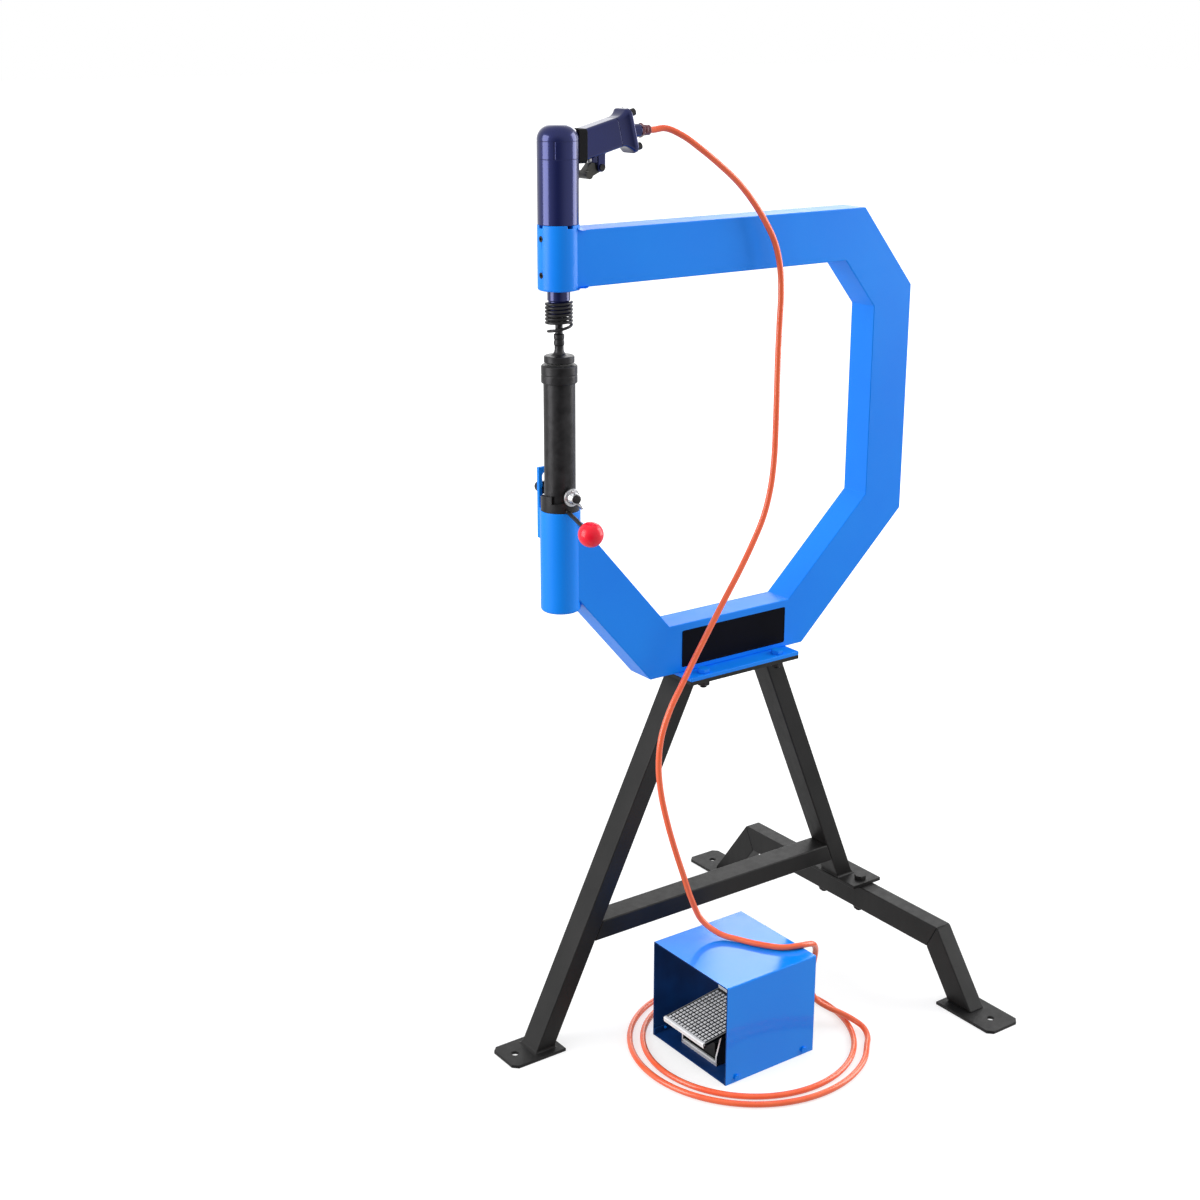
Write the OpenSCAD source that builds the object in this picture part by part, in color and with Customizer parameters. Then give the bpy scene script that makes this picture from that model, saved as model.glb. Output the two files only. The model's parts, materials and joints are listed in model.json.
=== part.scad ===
// Pneumatic planishing hammer: a C-frame on a floor stand, an air hammer above an anvil post
// that a cam collar raises and lowers, and a foot valve with its air hose.
// Millimetres, Z up, floor at Z = 0. The sizes and modules count X from the hammer axis, and each
// finished piece is then placed with the middle of the machine's footprint at the origin.

/* [Frame] */
// Throat depth, from the hammer axis to the back of the throat
throat_depth = 560; // [500:5:620]
// Throat height, between the two arms
throat_height = 510; // [490:5:560]
// Depth of the box section in side view
box_depth = 76; // [70:1:82]
// Width of the box section across the machine
box_width = 50; // [42:1:54]
// Wall of the box section
box_wall = 4; // [3:0.5:6]
// Horizontal run of the upper corner
upper_corner_run = 61; // [50:1:75]
// Vertical drop of the upper corner
upper_corner_drop = 73; // [60:1:90]
// Horizontal run of the lower corner
lower_corner_run = 153; // [135:1:170]
// Vertical rise of the lower corner
lower_corner_rise = 144; // [125:1:160]
// Distance from the hammer axis to the foot of the rising toe
toe_x = 177; // [165:1:190]
// Angle of the toe above the horizontal
toe_angle = 49; // [46:1:51]
// Outside diameter of both sockets
socket_d = 57; // [54:0.5:64]
// Height of the anvil socket
anvil_socket_h = 147; // [130:1:160]
// Height of the hammer socket above the top arm
hammer_socket_rise = 7; // [4:0.5:10]
// Drop of the hammer socket below the top arm
hammer_socket_drop = 4; // [1:0.5:8]

/* [Air hammer] */
// Diameter of the gun's barrel, band and cap
barrel_d = 56; // [50:0.5:58]
// Height of the barrel above its socket
barrel_h = 85; // [76:1:100]
// Height of the exhaust band
band_h = 23; // [18:0.5:28]
// Height of the domed cap
cap_h = 20.5; // [20:0.5:24]
// Diameter of the barrel inside the socket
spigot_d = 40; // [36:0.5:44]
// Diameter of the nose below the socket
nose_d = 31.4; // [30:0.2:34]
// Length of the nose below the socket
nose_h = 32; // [30:0.5:36]
// Bore that the piston runs in
cylinder_d = 24; // [20:0.5:28]
// Length of the piston
piston_h = 40; // [30:1:50]
// Slope of the pistol grip above the horizontal
grip_tilt = 14; // [8:1:18]
// Length of the grip up to its flare
grip_l = 57; // [50:1:66]
// Height of the grip's section
grip_h = 40; // [36:0.5:44]
// Width of the grip's section
grip_w = 30; // [26:0.5:34]
// Height of the flared butt
butt_h = 60; // [56:1:64]
// Width of the flared butt
butt_w = 38; // [34:1:44]

/* [Bit and anvil] */
// Diameter of the bit's shank
shank_d = 10.2; // [8:0.1:13]
// Diameter of the hammer die
die_d = 42; // [36:0.5:48]
// Thickness of the hammer die
die_h = 10; // [7:0.5:13]
// Distance from the nose to the face of the die
bit_drop = 66.5; // [62:0.5:74]
// Gap between the die and the anvil
die_gap = 2.5; // [2.2:0.1:5]
// Diameter of the anvil's head
anvil_head_d = 50; // [44:0.5:60]
// Height of the anvil's head
anvil_head_h = 25; // [18:0.5:32]
// Diameter of the anvil's shank
anvil_shank_d = 30; // [24:0.5:32]
// Length of the anvil's shank
anvil_shank_h = 34; // [24:1:44]
// Diameter of the anvil post
post_d = 44; // [42:0.5:46]

/* [Cam lock] */
// Outside diameter of the cam collar
cam_d = 54; // [51:0.5:56]
// Height of the cam collar at the foot of its ramps
cam_low_h = 12.5; // [10:0.5:16]
// Rise of each ramp
cam_lift = 11; // [8:0.5:13]
// Distance from the hammer axis to the middle of the ball knob
lever_reach = 113; // [90:1:140]
// Diameter of the lever
lever_d = 6; // [5:0.25:6.5]
// Diameter of the ball knob
knob_d = 35; // [28:0.5:40]
// Diameter of the cross bolt
bolt_d = 12; // [10:0.5:13]
// Reach of the wings from the bolt's axis
wing_reach = 16.5; // [13:0.25:17]

/* [Stand] */
// Height of the leg tops above the floor
stand_height = 550; // [500:5:600]
// Width of the leg tubes across the machine
leg_w = 40; // [34:1:46]
// Depth of the leg tubes in side view
leg_t = 30; // [25:1:34]
// Wall of the tubes
tube_wall = 2.5; // [1.5:0.5:4]
// Where the front leg meets the stand plate
front_top_x = 220; // [214:1:230]
// Where the front leg meets its foot
front_foot_x = -48; // [-70:1:-30]
// Where the rear leg meets the stand plate
rear_top_x = 381; // [372:1:388]
// Distance from the rear leg's foot back to the middle of the cross beam
rear_foot_inset = 12; // [4:1:20]
// Height of the brace's top face
brace_top = 190; // [170:1:240]
// Middle of the cross beam, from the hammer axis
beam_x = 570; // [560:1:580]
// Height of the cross beam's top face
beam_top = 118; // [104:1:130]
// Width of the stand over its rear foot plates
stand_width = 752; // [720:2:800]
// Distance from a rear anchor hole in to the bend of the cross beam
bend_inset = 110; // [95:1:150]
// Slope of the cross beam's two ends
beam_slope = 54; // [48:1:60]
// Thickness of the foot plates
foot_t = 5; // [4:0.5:8]
// Distance from the hammer axis to the front anchor hole
anchor_x = 89; // [84:1:110]
// Diameter of the anchor holes
anchor_d = 11; // [9:0.5:14]

/* [Bolted joint] */
// Length of the base flange and the stand plate
flange_l = 210; // [205:1:240]
// Width of the base flange and the stand plate
flange_w = 110; // [106:1:130]
// Thickness of the base flange and the stand plate
flange_t = 6; // [4:0.5:10]
// Middle of the flange, from the hammer axis
flange_x = 300; // [295:1:305]
// Spacing of the flange bolts along the machine
flange_pitch_x = 144; // [140:1:160]
// Spacing of the flange bolts across the machine
flange_pitch_y = 84; // [80:1:88]
// Diameter of the frame and stand bolts
screw_d = 10; // [8:0.5:11]

/* [Foot valve] */
// Mouth of the guard, from the hammer axis
pedal_x = 118; // [100:1:130]
// Middle of the foot valve across the machine
pedal_y = -159; // [-175:1:-150]
// Length of the guard
guard_l = 170; // [165:1:200]
// Width of the guard
guard_w = 176; // [150:1:190]
// Height of the guard
guard_h = 160; // [150:1:185]
// Thickness of the guard's sheet
guard_t = 2; // [1:0.25:3]
// Length of the treadle along its slope
treadle_l = 118; // [106:1:124]
// Width of the treadle
treadle_w = 98; // [94:1:110]
// Thickness of the treadle
treadle_t = 5; // [3:0.5:7]
// Slope of the treadle at rest
treadle_tilt = 8; // [6:1:12]
// Diameter of the treadle's pivot pin
treadle_pin_d = 8; // [6:0.5:9]
// Diameter of the valve's plunger
plunger_d = 10; // [8:0.5:12]

/* [Hose] */
// Outside diameter of the air hose
hose_d = 9; // [8:0.25:10]

/* [Hidden] */
$fn = 64;

// Finishes
frame_blue = "#1f7cf2";
gun_navy = "#26285e";
stand_black = "#232324";
steel_black = "#2e2c2c";
steel_bright = "#c9c9cc";
cast_grey = "#9aa0a4";
rubber_black = "#151517";
trigger_olive = "#3c3b33";
knob_red = "#e0152f";
collar_red = "#8c1f36";
hose_orange = "#f4642c";

// Shared clearances
overrun = 2;
skin = 0.5;
weld_gap = 0.05;
running_gap = 0.05;
free_gap = 0.3;
screw_gap = 0.1;

// Heights up the machine
frame_z = stand_height + 2 * flange_t;
lower_arm_top = frame_z + box_depth;
arm_under = lower_arm_top + throat_height;
arm_top = arm_under + box_depth;
hammer_socket_z0 = arm_under - hammer_socket_drop;
hammer_socket_z1 = arm_top + hammer_socket_rise;
barrel_top = hammer_socket_z1 + barrel_h;
band_top = barrel_top + band_h;
cap_top = band_top + cap_h;
nose_z = hammer_socket_z0 - nose_h;
die_z = nose_z - bit_drop;
anvil_top = die_z - die_gap;
post_top = anvil_top - anvil_head_h;

// The toe's edge lines, by their height on the hammer axis at an offset from the throat side
function toe_height(offset) = lower_arm_top + toe_x * tan(toe_angle) - offset / cos(toe_angle);
socket_margin = 1;
anvil_socket_z0 = toe_height(box_depth) - socket_d / 2 * tan(toe_angle) - socket_margin;
anvil_socket_z1 = anvil_socket_z0 + anvil_socket_h;
anvil_socket_floor = 10;
anvil_socket_round = 5;

// The throat's edge from the hammer socket round to the toe
throat_edge = [
    [0, arm_under],
    [throat_depth - upper_corner_run, arm_under],
    [throat_depth, arm_under - upper_corner_drop],
    [throat_depth, lower_arm_top + lower_corner_rise],
    [throat_depth - lower_corner_run, lower_arm_top],
    [toe_x, lower_arm_top],
    [0, toe_height(0)]];

function unit(v) = v / norm(v);
function left_of(a, b) = [-(b - a)[1], (b - a)[0]] / norm(b - a);
function corner_shift(p, i) = let (a = left_of(p[i - 1], p[i]), b = left_of(p[i], p[i + 1]))
    (a + b) / (1 + a * b);

// The throat's edge moved out by an offset, with mitred corners and both ends on the hammer axis
function edge_at(offset) = [
    [0, arm_under + offset],
    for (i = [1 : len(throat_edge) - 2]) throat_edge[i] + offset * corner_shift(throat_edge, i),
    [0, toe_height(offset)]];

function reversed(list) = [for (i = [len(list) - 1 : -1 : 0]) list[i]];

// Hammer socket
hammer_socket_round = 3;
notch_w = 8;
notch_h = 4;
grub_d = 8;
grub_upper_drop = 18;
grub_lower_rise = 21;
spigot_gap = 0.1;

// Label on the bottom arm
label_l = 200;
label_h = 57;
label_t = 0.8;
label_rise = 8;

// Gun barrel, band and cap
nose_end_d = 28.6;
nose_step = 14;
bore_floor = 6;
shank_gap = 0.1;
cap_round = 19;
cap_plug_d = 38;
cap_stem_h = 4;
slit_w = 2;
slit_depth = 1;
slit_angle = -133;
valve_block_h = 20;
valve_port_d = 5;
valve_port_count = 4;
valve_port_share = 0.3;

// Piston and bit
piston_rest = 8.4;
piston_tip_d = 9;
piston_tip_h = 6;
bit_entry = 53;
bit_collar_d = 14.5;
bit_collar_h = 15;
bit_collar_rise = 25;
bit_neck_d = 12.5;
bit_flare_d = 27;
bit_flare_h = 9;
bit_chamfer = 1.5;
anvil_chamfer = 1.5;
shank_chamfer = 2;

// Retainer spring
retainer_wire = 4;
retainer_pitch = 5;
retainer_curls = 6;
retainer_tail_curls = 0.75;
retainer_tail_r = 11;
retainer_tail_drop = 11;
retainer_start_angle = -35;
curl_rings = 8;
wire_sides = 6;
retainer_top = hammer_socket_z0 - nose_step - retainer_wire / 2 - free_gap;
retainer_r = nose_end_d / 2 / cos(180 / curl_rings) + free_gap + retainer_wire / 2;

// Grip, butt and inlet
saddle_t = 8.5;
saddle_w = 34;
saddle_drop = 7;
saddle_top_gap = 6;
saddle_corner = 5;
grip_rise = 16.5;
grip_corner = 6;
grip_root_run = 24;
air_way_d = 9;
flare_l = 16.5;
flare_run_share = 0.6;
flare_grow_share = 0.3;
butt_t = 6;
butt_corner = 9;
butt_drop = 3;
inlet_boss_d = 18;
inlet_boss_l = 19.3;
inlet_hole_d = 10;
inlet_hex = 17;
inlet_hex_t = 5;
inlet_collar_d = 14.5;
inlet_collar_l = 11;
inlet_drop = 4.4;
butt_screw_d = 4;
butt_screw_l = 8;
butt_head_d = 10;
butt_head_h = 7;
butt_screw_inset = 7;
grip_root_x = barrel_d / 2 + saddle_t;
grip_root_z = barrel_top + grip_rise;
butt_end = grip_l + flare_l + butt_t;
inlet_x0 = grip_root_x + butt_end * cos(grip_tilt);
inlet_x1 = inlet_x0 + inlet_boss_l;
inlet_x2 = inlet_x1 + inlet_hex_t;
inlet_x3 = inlet_x2 + inlet_collar_l;
inlet_z = grip_root_z + butt_end * sin(grip_tilt) - inlet_drop;

// Trigger and throttle
pivot_ahead = 12.6;
pivot_below = 7.15;
pivot_pin_d = 5;
pivot_boss_d = 11;
roll_run = 21;
roll_drop = 9;
roll_d = 11;
pad_run = 12.3;
pad_rise = 1.5;
pad_d = 10;
trigger_w = 12;
lug_w = 4;
lug_l = 12;
pin_head_d = 9;
pin_head_h = 2;
stem_run = 9;
stem_d = 6;
stem_drop = 6;
stem_rise = 9;
stem_travel = 4.5;
chamber_d = 10;
chamber_h = 16;
throttle_wire = 1;
throttle_pitch = 2;
throttle_curls = 6;
stem_low = grip_h / 2 + stem_drop;
pivot_x = grip_root_x + stem_run * cos(grip_tilt) + stem_low * sin(grip_tilt) + pivot_ahead;
pivot_z = grip_root_z + stem_run * sin(grip_tilt) - stem_low * cos(grip_tilt) - pivot_below;
throttle_r = stem_d / 2 / cos(180 / curl_rings) + free_gap + throttle_wire / 2;

// Cam, cross bolt, guide and lever. The ramps start at a step and end in a short land
ramp_sweep = 172;
ramp_overlap = 2;
ramp_steps = 18;
step_angle = -150;
bolt_on_ramp = -90 - step_angle;
ramp_rate = cam_lift / ramp_sweep;
cam_bore_gap = 0.3;
ramp_gap = 0.35;
cam_z = anvil_socket_z1;
ramp_slope = atan(ramp_rate * 180 / PI / (post_d / 2));
bolt_z = cam_z + cam_low_h + ramp_rate * bolt_on_ramp + bolt_d / 2 / cos(ramp_slope) + ramp_gap;
post_floor_gap = 14;
washer_d = 25;
washer_t = 2.5;
washer_gap = 0.6;
washer_y = cam_d / 2 + washer_gap;
wing_hub_d = 18;
wing_tip_d = 15;
wing_hub_h = 10;
wing_t = 3.5;
wing_flare = 5;
wing_angle = 117;
nut_gap = 0.1;
bolt_tip = 4;
tab_stand = 5.5;
tab_t = 6;
tab_w = 25;
tab_foot = 48;
tab_foot_top = 3;
tab_rise = 32;
slot_rise = 18;
slot_drop = 5;
stop_hex = 18;
stop_h = 6;
dome_d = 16;
dome_h = 8;
stop_gap = 0.4;
lever_angle = -103;
lever_tilt = 7;
lever_root_share = 0.4;
lever_floor_gap = 0.4;
knob_hole_gap = 0.05;
knob_depth_share = 0.3;
lever_z = cam_z + lever_floor_gap + lever_d / 2;
tab_y = socket_d / 2 + tab_stand;

// Stand
brace_l_gap = 0.05;
foot_w = 65;
front_foot_back = 30;
front_foot_tip = 22;
rear_foot_in = 8;
rear_foot_tip = 31;
foot_clip = 8;
base_l = 60;
base_w = 120;
base_t = 6;
base_bolt_y = 43;
nut_hex_share = 1.7;
head_h_share = 0.64;
nut_h_share = 0.8;
thread_out = 4;
origin_x = (throat_depth + box_depth - anchor_x - front_foot_tip) / 2;
base_top = beam_top + base_t;
anchor_y = stand_width / 2 - rear_foot_tip;
beam_bend_y = anchor_y - bend_inset;
beam_bottom = beam_top - leg_w;
mitre_in = leg_w * tan(beam_slope / 2);

// Foot valve, placed from the mouth of its guard
pan_gap = 0.1;
pan_t = 2;
pan_flange = 12;
guard_screw_d = 4;
guard_screw_l = 6;
guard_head_d = 9;
guard_head_h = 3;
guard_screw_z = 8;
guard_screw_inset = 20;
base_plate_t = 3;
base_front = 20;
base_tail = 6;
base_half_w = 42;
ear_t = 3;
ear_l = 76;
ear_toe_h = 18;
ear_ahead = 10;
ear_back = 10;
ear_drop = 2;
ear_clear = 1.6;
pin_x = 40;
pin_z = 46;
pin_out = 4;
treadle_over = 10;
treadle_nose = 50;
lug_inset = 0.4;
treadle_lug_t = 5.5;
treadle_lug_r = 8;
toe_cap_l = 10;
toe_cap_h = 7;
rib_run = 42;
rib_drop = 1;
rib_d = 10;
rib_w = 20;
rib_gap = 0.4;
torsion_wire = 2;
torsion_pitch = 2.6;
torsion_curls = 6;
valve_x0 = 26;
valve_x1 = 150;
valve_half_w = 30;
valve_top = 33;
plunger_floor = 8;
plunger_stroke = 7.4;
port_z = 20;
port_d = 11.8;
port_depth = 14;
supply_y = -19;
fitting_hex = 17;
fitting_hex_t = 8;
fitting_collar_d = 13.5;
fitting_collar_l = 18;
fitting_bore_d = 5;
ear_top = pin_z + treadle_over - ear_drop;
ear_front = pin_z + treadle_over * cos(treadle_tilt) - ear_ahead * sin(treadle_tilt) - ear_clear;
torsion_r = treadle_pin_d / 2 / cos(180 / curl_rings) + free_gap + torsion_wire / 2;
rib_x = pin_x + rib_run * cos(treadle_tilt) + rib_drop * sin(treadle_tilt);
rib_z = pin_z + rib_run * sin(treadle_tilt) - rib_drop * cos(treadle_tilt);
plunger_top = rib_z - rib_d / 2 - rib_gap;
port_x = pedal_x + valve_x1 + fitting_hex_t + fitting_collar_l;

// Hose: the hanging stretch from the inlet over the guard to the floor
hose_start = [inlet_x3, 0, inlet_z];
hose_points = [
    [174, -2, 1349], [199, -10, 1339], [224, -19, 1321], [253, -27, 1298], [282, -34, 1272],
    [306, -39, 1244], [326, -42, 1216], [341, -45, 1188], [350, -47, 1155], [353, -48, 1118],
    [351, -49, 1075], [349, -50, 1025], [348, -51, 975], [347, -52, 925], [345, -53, 875],
    [339, -54, 832], [325, -56, 790], [303, -57, 750], [277, -59, 712], [250, -60, 675],
    [223, -61, 637], [197, -61, 598], [171, -62, 559], [147, -65, 525], [130, -68, 488],
    [124, -70, 448], [127, -72, 404], [136, -75, 358], [149, -78, 310], [164, -82, 261],
    [176, -88, 219], [187, -99, 187], [203, -121, 169], [221, -150, 165], [238, -181, 165],
    [259, -206, 165], [286, -217, 165], [309, -215, 159], [324, -206, 142], [330, -197, 117],
    [330, -190, 90], [334, -187, 62], [345, -190, 40], [361, -200, 26], [375, -216, 18],
    [383, -234, 13], [386, -251, 9]];
hose_sides = 10;
hose_cuts = 2;

// Hose: the loops on the floor round the foot valve, and the turn into its port
loop_x = 222;
loop_y = -166;
loop_outer_r = 186;
loop_inner_r = 150;
loop_start = -40;
loop_sweep = 645;
loop_z = 5;
loop_rings = 24;
loop_sides = 6;
turn_rings = 8;

// Moves a finished piece from the hammer axis to the origin
module placed() { translate([-origin_x, 0, 0]) children(); }

// Solids that repeat

module rod_x(d, x0, x1) { translate([x0, 0, 0]) rotate([0, 90, 0]) cylinder(d = d, h = x1 - x0); }
module rod_y(d, y0, y1) { translate([0, y0, 0]) rotate([-90, 0, 0]) cylinder(d = d, h = y1 - y0); }
module rod_z(d, z0, z1) { translate([0, 0, z0]) cylinder(d = d, h = z1 - z0); }
module slab(x, y, z) { translate([x[0], y[0], z[0]]) cube([x[1] - x[0], y[1] - y[0], z[1] - z[0]]); }

// An outline in X and Z, spread evenly across Y
module side_view(width) { rotate([90, 0, 0]) linear_extrude(width, center = true) children(); }

// An outline in Y and Z, spread evenly across X
module end_view(width) { rotate([90, 0, 90]) linear_extrude(width, center = true) children(); }

// A turned piece from points of radius and height
module turned(points) { rotate_extrude() polygon(points); }

// A round post with its bottom edge rounded
module rounded_post(d, z0, z1, round) {
    translate([0, 0, z0 + round]) mirror([0, 0, 1]) rotate_extrude() intersection() {
        translate([d / 2 - round, 0]) circle(round);
        square([d, round]);
    }
    rod_z(d - 2 * round, z0, z0 + round);
    rod_z(d, z0 + round, z1);
}

module rounded_box(w, h, r) {
    square([w - 2 * r, h], center = true);
    square([w, h - 2 * r], center = true);
    for (x = [-1, 1], y = [-1, 1]) translate([x * (w / 2 - r), y * (h / 2 - r)]) circle(r);
}

module hex_prism(across_flats, z0, z1) {
    translate([0, 0, z0]) cylinder(d = across_flats / cos(30), h = z1 - z0, $fn = 6);
}

function hex_of(d) = d * nut_hex_share;

module bolt_head(d, z) { hex_prism(hex_of(d), z, z + d * head_h_share); }

module nut(d, z) {
    difference() {
        hex_prism(hex_of(d), z - d * nut_h_share, z);
        rod_z(d + 2 * screw_gap, z - d * nut_h_share - overrun, z + overrun);
    }
}

// Tubes swept along a path

function tangents(p) = [for (i = [0 : len(p) - 1]) unit(p[min(i + 1, len(p) - 1)] - p[max(i - 1, 0)])];
function square_to(v, t) = unit(v - (v * t) * t);
function carried(t, first) = [
    for (i = 0, n = first; i < len(t); n = square_to(n, t[i]), i = i + 1) square_to(n, t[i])];

module swept_tube(path, d, sides) {
    t = tangents(path);
    n = carried(t, abs(t[0][2]) < cos(45) ? [0, 0, 1] : [1, 0, 0]);
    last = len(path) - 1;
    points = [for (i = [0 : last], k = [0 : sides - 1])
        path[i] + d / 2 * (cos(360 * k / sides) * n[i] + sin(360 * k / sides) * cross(t[i], n[i]))];
    walls = [for (i = [0 : last - 1], k = [0 : sides - 1])
        let (a = i * sides + k, b = i * sides + (k + 1) % sides, c = b + sides, e = a + sides)
            each [[a, c, b], [a, e, c]]];
    end = last * sides;
    caps = [for (k = [1 : sides - 2]) each [[0, k, k + 1], [end, end + k + 1, end + k]]];
    polyhedron(points, concat(walls, caps));
}

// The least gap of a tube to itself, between rings that are a given count apart or more
function least_gap(path, d, apart) = min([for (i = [0 : len(path) - 1], j = [i + apart : 1 : len(path) - 1])
    norm(path[i] - path[j])]) - d;

// A path with one tube diameter added straight on at both ends
function with_straight_ends(p, d) = let (last = len(p) - 1)
    concat([p[0] - d * unit(p[1] - p[0])], p, [p[last] + d * unit(p[last] - p[last - 1])]);

function curl_path(r, pitch, curls, start) = [for (i = [0 : curls * curl_rings])
    let (turn = i / curl_rings, a = start - 360 * turn) [r * cos(a), r * sin(a), -pitch * turn]];

// Smooth curve through hand-set points, each span cut into equal steps
function spline_point(a, b, c, d, u) = (2 * b + (c - a) * u
    + (2 * a - 5 * b + 4 * c - d) * u * u
    + (3 * b - a - 3 * c + d) * u * u * u) / 2;
function smooth_path(p, cuts) = [
    for (i = [0 : len(p) - 2], k = [0 : cuts - 1])
        spline_point(p[max(i - 1, 0)], p[i], p[i + 1], p[min(i + 2, len(p) - 1)], k / cuts),
    p[len(p) - 1]];

// Frame

module frame_band(from, to, width) {
    side_view(width) polygon(concat(edge_at(from), reversed(edge_at(to))));
}

module c_frame() {
    color(frame_blue) placed() difference() {
        frame_band(0, box_depth, box_width);
        frame_band(box_wall, box_depth - box_wall, box_width - 2 * box_wall);
        rod_z(socket_d + 2 * weld_gap, frame_z, arm_top + overrun);
    }
}

module hammer_socket() {
    color(frame_blue) placed() difference() {
        rounded_post(socket_d, hammer_socket_z0, hammer_socket_z1, hammer_socket_round);
        rod_z(spigot_d + 2 * spigot_gap, hammer_socket_z0 - overrun, hammer_socket_z1 + overrun);
        grub_socket_cuts();
        for (a = [-180, -90]) rotate([0, 0, a])
            slab([0, socket_d], [-notch_w / 2, notch_w / 2],
                [hammer_socket_z1 - notch_h, hammer_socket_z1 + overrun]);
    }
}

// The grub screws enter on the side away from the arm
module grub_sides() {
    for (z = [hammer_socket_z1 - grub_upper_drop, hammer_socket_z0 + grub_lower_rise])
        translate([0, 0, z]) rotate([0, 0, 180]) children();
}

module grub_socket_cuts() { grub_sides() rod_x(grub_d + 2 * screw_gap, 0, socket_d); }

module socket_screws() {
    color(steel_black) placed() grub_sides() difference() {
        rod_x(grub_d, spigot_d / 2 + weld_gap, socket_d / 2);
        rod_x_hex(grub_d / 2, socket_d / 2 - grub_d / 2, socket_d / 2 + overrun);
    }
}

module rod_x_hex(across_flats, x0, x1) { rotate([0, 90, 0]) hex_prism(across_flats, x0, x1); }

module anvil_socket() {
    color(frame_blue) placed() difference() {
        rounded_post(socket_d, anvil_socket_z0, anvil_socket_z1, anvil_socket_round);
        rod_z(post_d + 2 * running_gap, anvil_socket_z0 + anvil_socket_floor, anvil_socket_z1 + overrun);
    }
}

module post_guide() {
    slot_w = bolt_d + 2 * free_gap;
    foot_z = anvil_socket_z1 - tab_foot;
    color(frame_blue) placed() difference() {
        union() {
            slab([-tab_w / 2, tab_w / 2], [tab_y, tab_y + tab_t], [foot_z, bolt_z + tab_rise]);
            slab([-tab_w / 2, tab_w / 2], [0, tab_y], [foot_z, anvil_socket_z1 - tab_foot_top]);
        }
        rod_z(socket_d + 2 * weld_gap, anvil_socket_z0, anvil_socket_z1);
        slab([-slot_w / 2, slot_w / 2], [tab_y - overrun, tab_y + tab_t + overrun],
            [bolt_z - slot_drop, bolt_z + slot_rise]);
        for (z = [bolt_z - slot_drop, bolt_z + slot_rise])
            translate([0, 0, z]) rod_y(slot_w, tab_y - overrun, tab_y + tab_t + overrun);
    }
}

module flange_places() {
    for (x = [-1, 1], y = [-1, 1])
        translate([flange_x + x * flange_pitch_x / 2, y * flange_pitch_y / 2, 0]) children();
}

module bolted_plate(z) {
    difference() {
        slab([flange_x - flange_l / 2, flange_x + flange_l / 2], [-flange_w / 2, flange_w / 2],
            [z, z + flange_t]);
        flange_places() rod_z(screw_d + 2 * screw_gap, z - overrun, z + flange_t + overrun);
    }
}

module base_flange() { color(frame_blue) placed() bolted_plate(stand_height + flange_t); }
module stand_plate() { color(stand_black) placed() bolted_plate(stand_height); }

module label_plate() {
    color(rubber_black) placed() slab([flange_x - label_l / 2, flange_x + label_l / 2],
        [-box_width / 2 - label_t, -box_width / 2], [frame_z + label_rise, frame_z + label_rise + label_h]);
}

module flange_bolts() {
    color(steel_black) placed() flange_places() {
        bolt_head(screw_d, frame_z);
        rod_z(screw_d, stand_height - screw_d * nut_h_share - thread_out, frame_z);
    }
}

module flange_nuts() { color(steel_black) placed() flange_places() nut(screw_d, stand_height); }

// Air hammer

module gun_barrel() {
    color(gun_navy) placed() difference() {
        turned([[0, nose_z], [nose_end_d / 2, nose_z], [nose_end_d / 2, hammer_socket_z0 - nose_step],
            [nose_d / 2, hammer_socket_z0 - nose_step], [nose_d / 2, hammer_socket_z0],
            [spigot_d / 2, hammer_socket_z0], [spigot_d / 2, hammer_socket_z1],
            [barrel_d / 2, hammer_socket_z1], [barrel_d / 2, barrel_top], [0, barrel_top]]);
        rod_z(cylinder_d, hammer_socket_z0 + bore_floor, barrel_top + overrun);
        rod_z(shank_d + 2 * shank_gap, nose_z - overrun, barrel_top);
    }
}

module gun_band() {
    color(gun_navy) placed() difference() {
        rod_z(barrel_d, barrel_top, band_top);
        rod_z(cap_plug_d + 2 * screw_gap, barrel_top - overrun, band_top + overrun);
        rotate([0, 0, slit_angle])
            slab([barrel_d / 2 - slit_depth, barrel_d], [-slit_w / 2, slit_w / 2],
                [barrel_top - overrun, band_top + overrun]);
    }
}

module gun_cap() {
    color(gun_navy) placed() {
        rod_z(barrel_d, band_top, cap_top - cap_round);
        translate([0, 0, cap_top - cap_round]) rotate_extrude() intersection() {
            translate([barrel_d / 2 - cap_round, 0]) circle(cap_round);
            square([barrel_d, cap_round]);
        }
        rod_z(barrel_d - 2 * cap_round, cap_top - cap_round, cap_top);
        rod_z(cap_plug_d, barrel_top, band_top);
        rod_z(cylinder_d - 2 * screw_gap, barrel_top - cap_stem_h, barrel_top);
    }
}

module valve_block() {
    top = barrel_top - cap_stem_h;
    color(steel_bright) placed() difference() {
        rod_z(cylinder_d - 2 * screw_gap, top - valve_block_h, top);
        for (i = [1 : valve_port_count]) rotate([0, 0, 360 * i / valve_port_count])
            translate([cylinder_d * valve_port_share, 0, 0])
                rod_z(valve_port_d, top - valve_block_h - overrun, top + overrun);
    }
}

bit_top = nose_z + bit_entry;

module piston() {
    z = bit_top + piston_rest;
    color(steel_bright) placed() {
        rod_z(piston_tip_d, z, z + piston_tip_h);
        rod_z(cylinder_d - 2 * running_gap, z + piston_tip_h, z + piston_h);
    }
}

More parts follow.
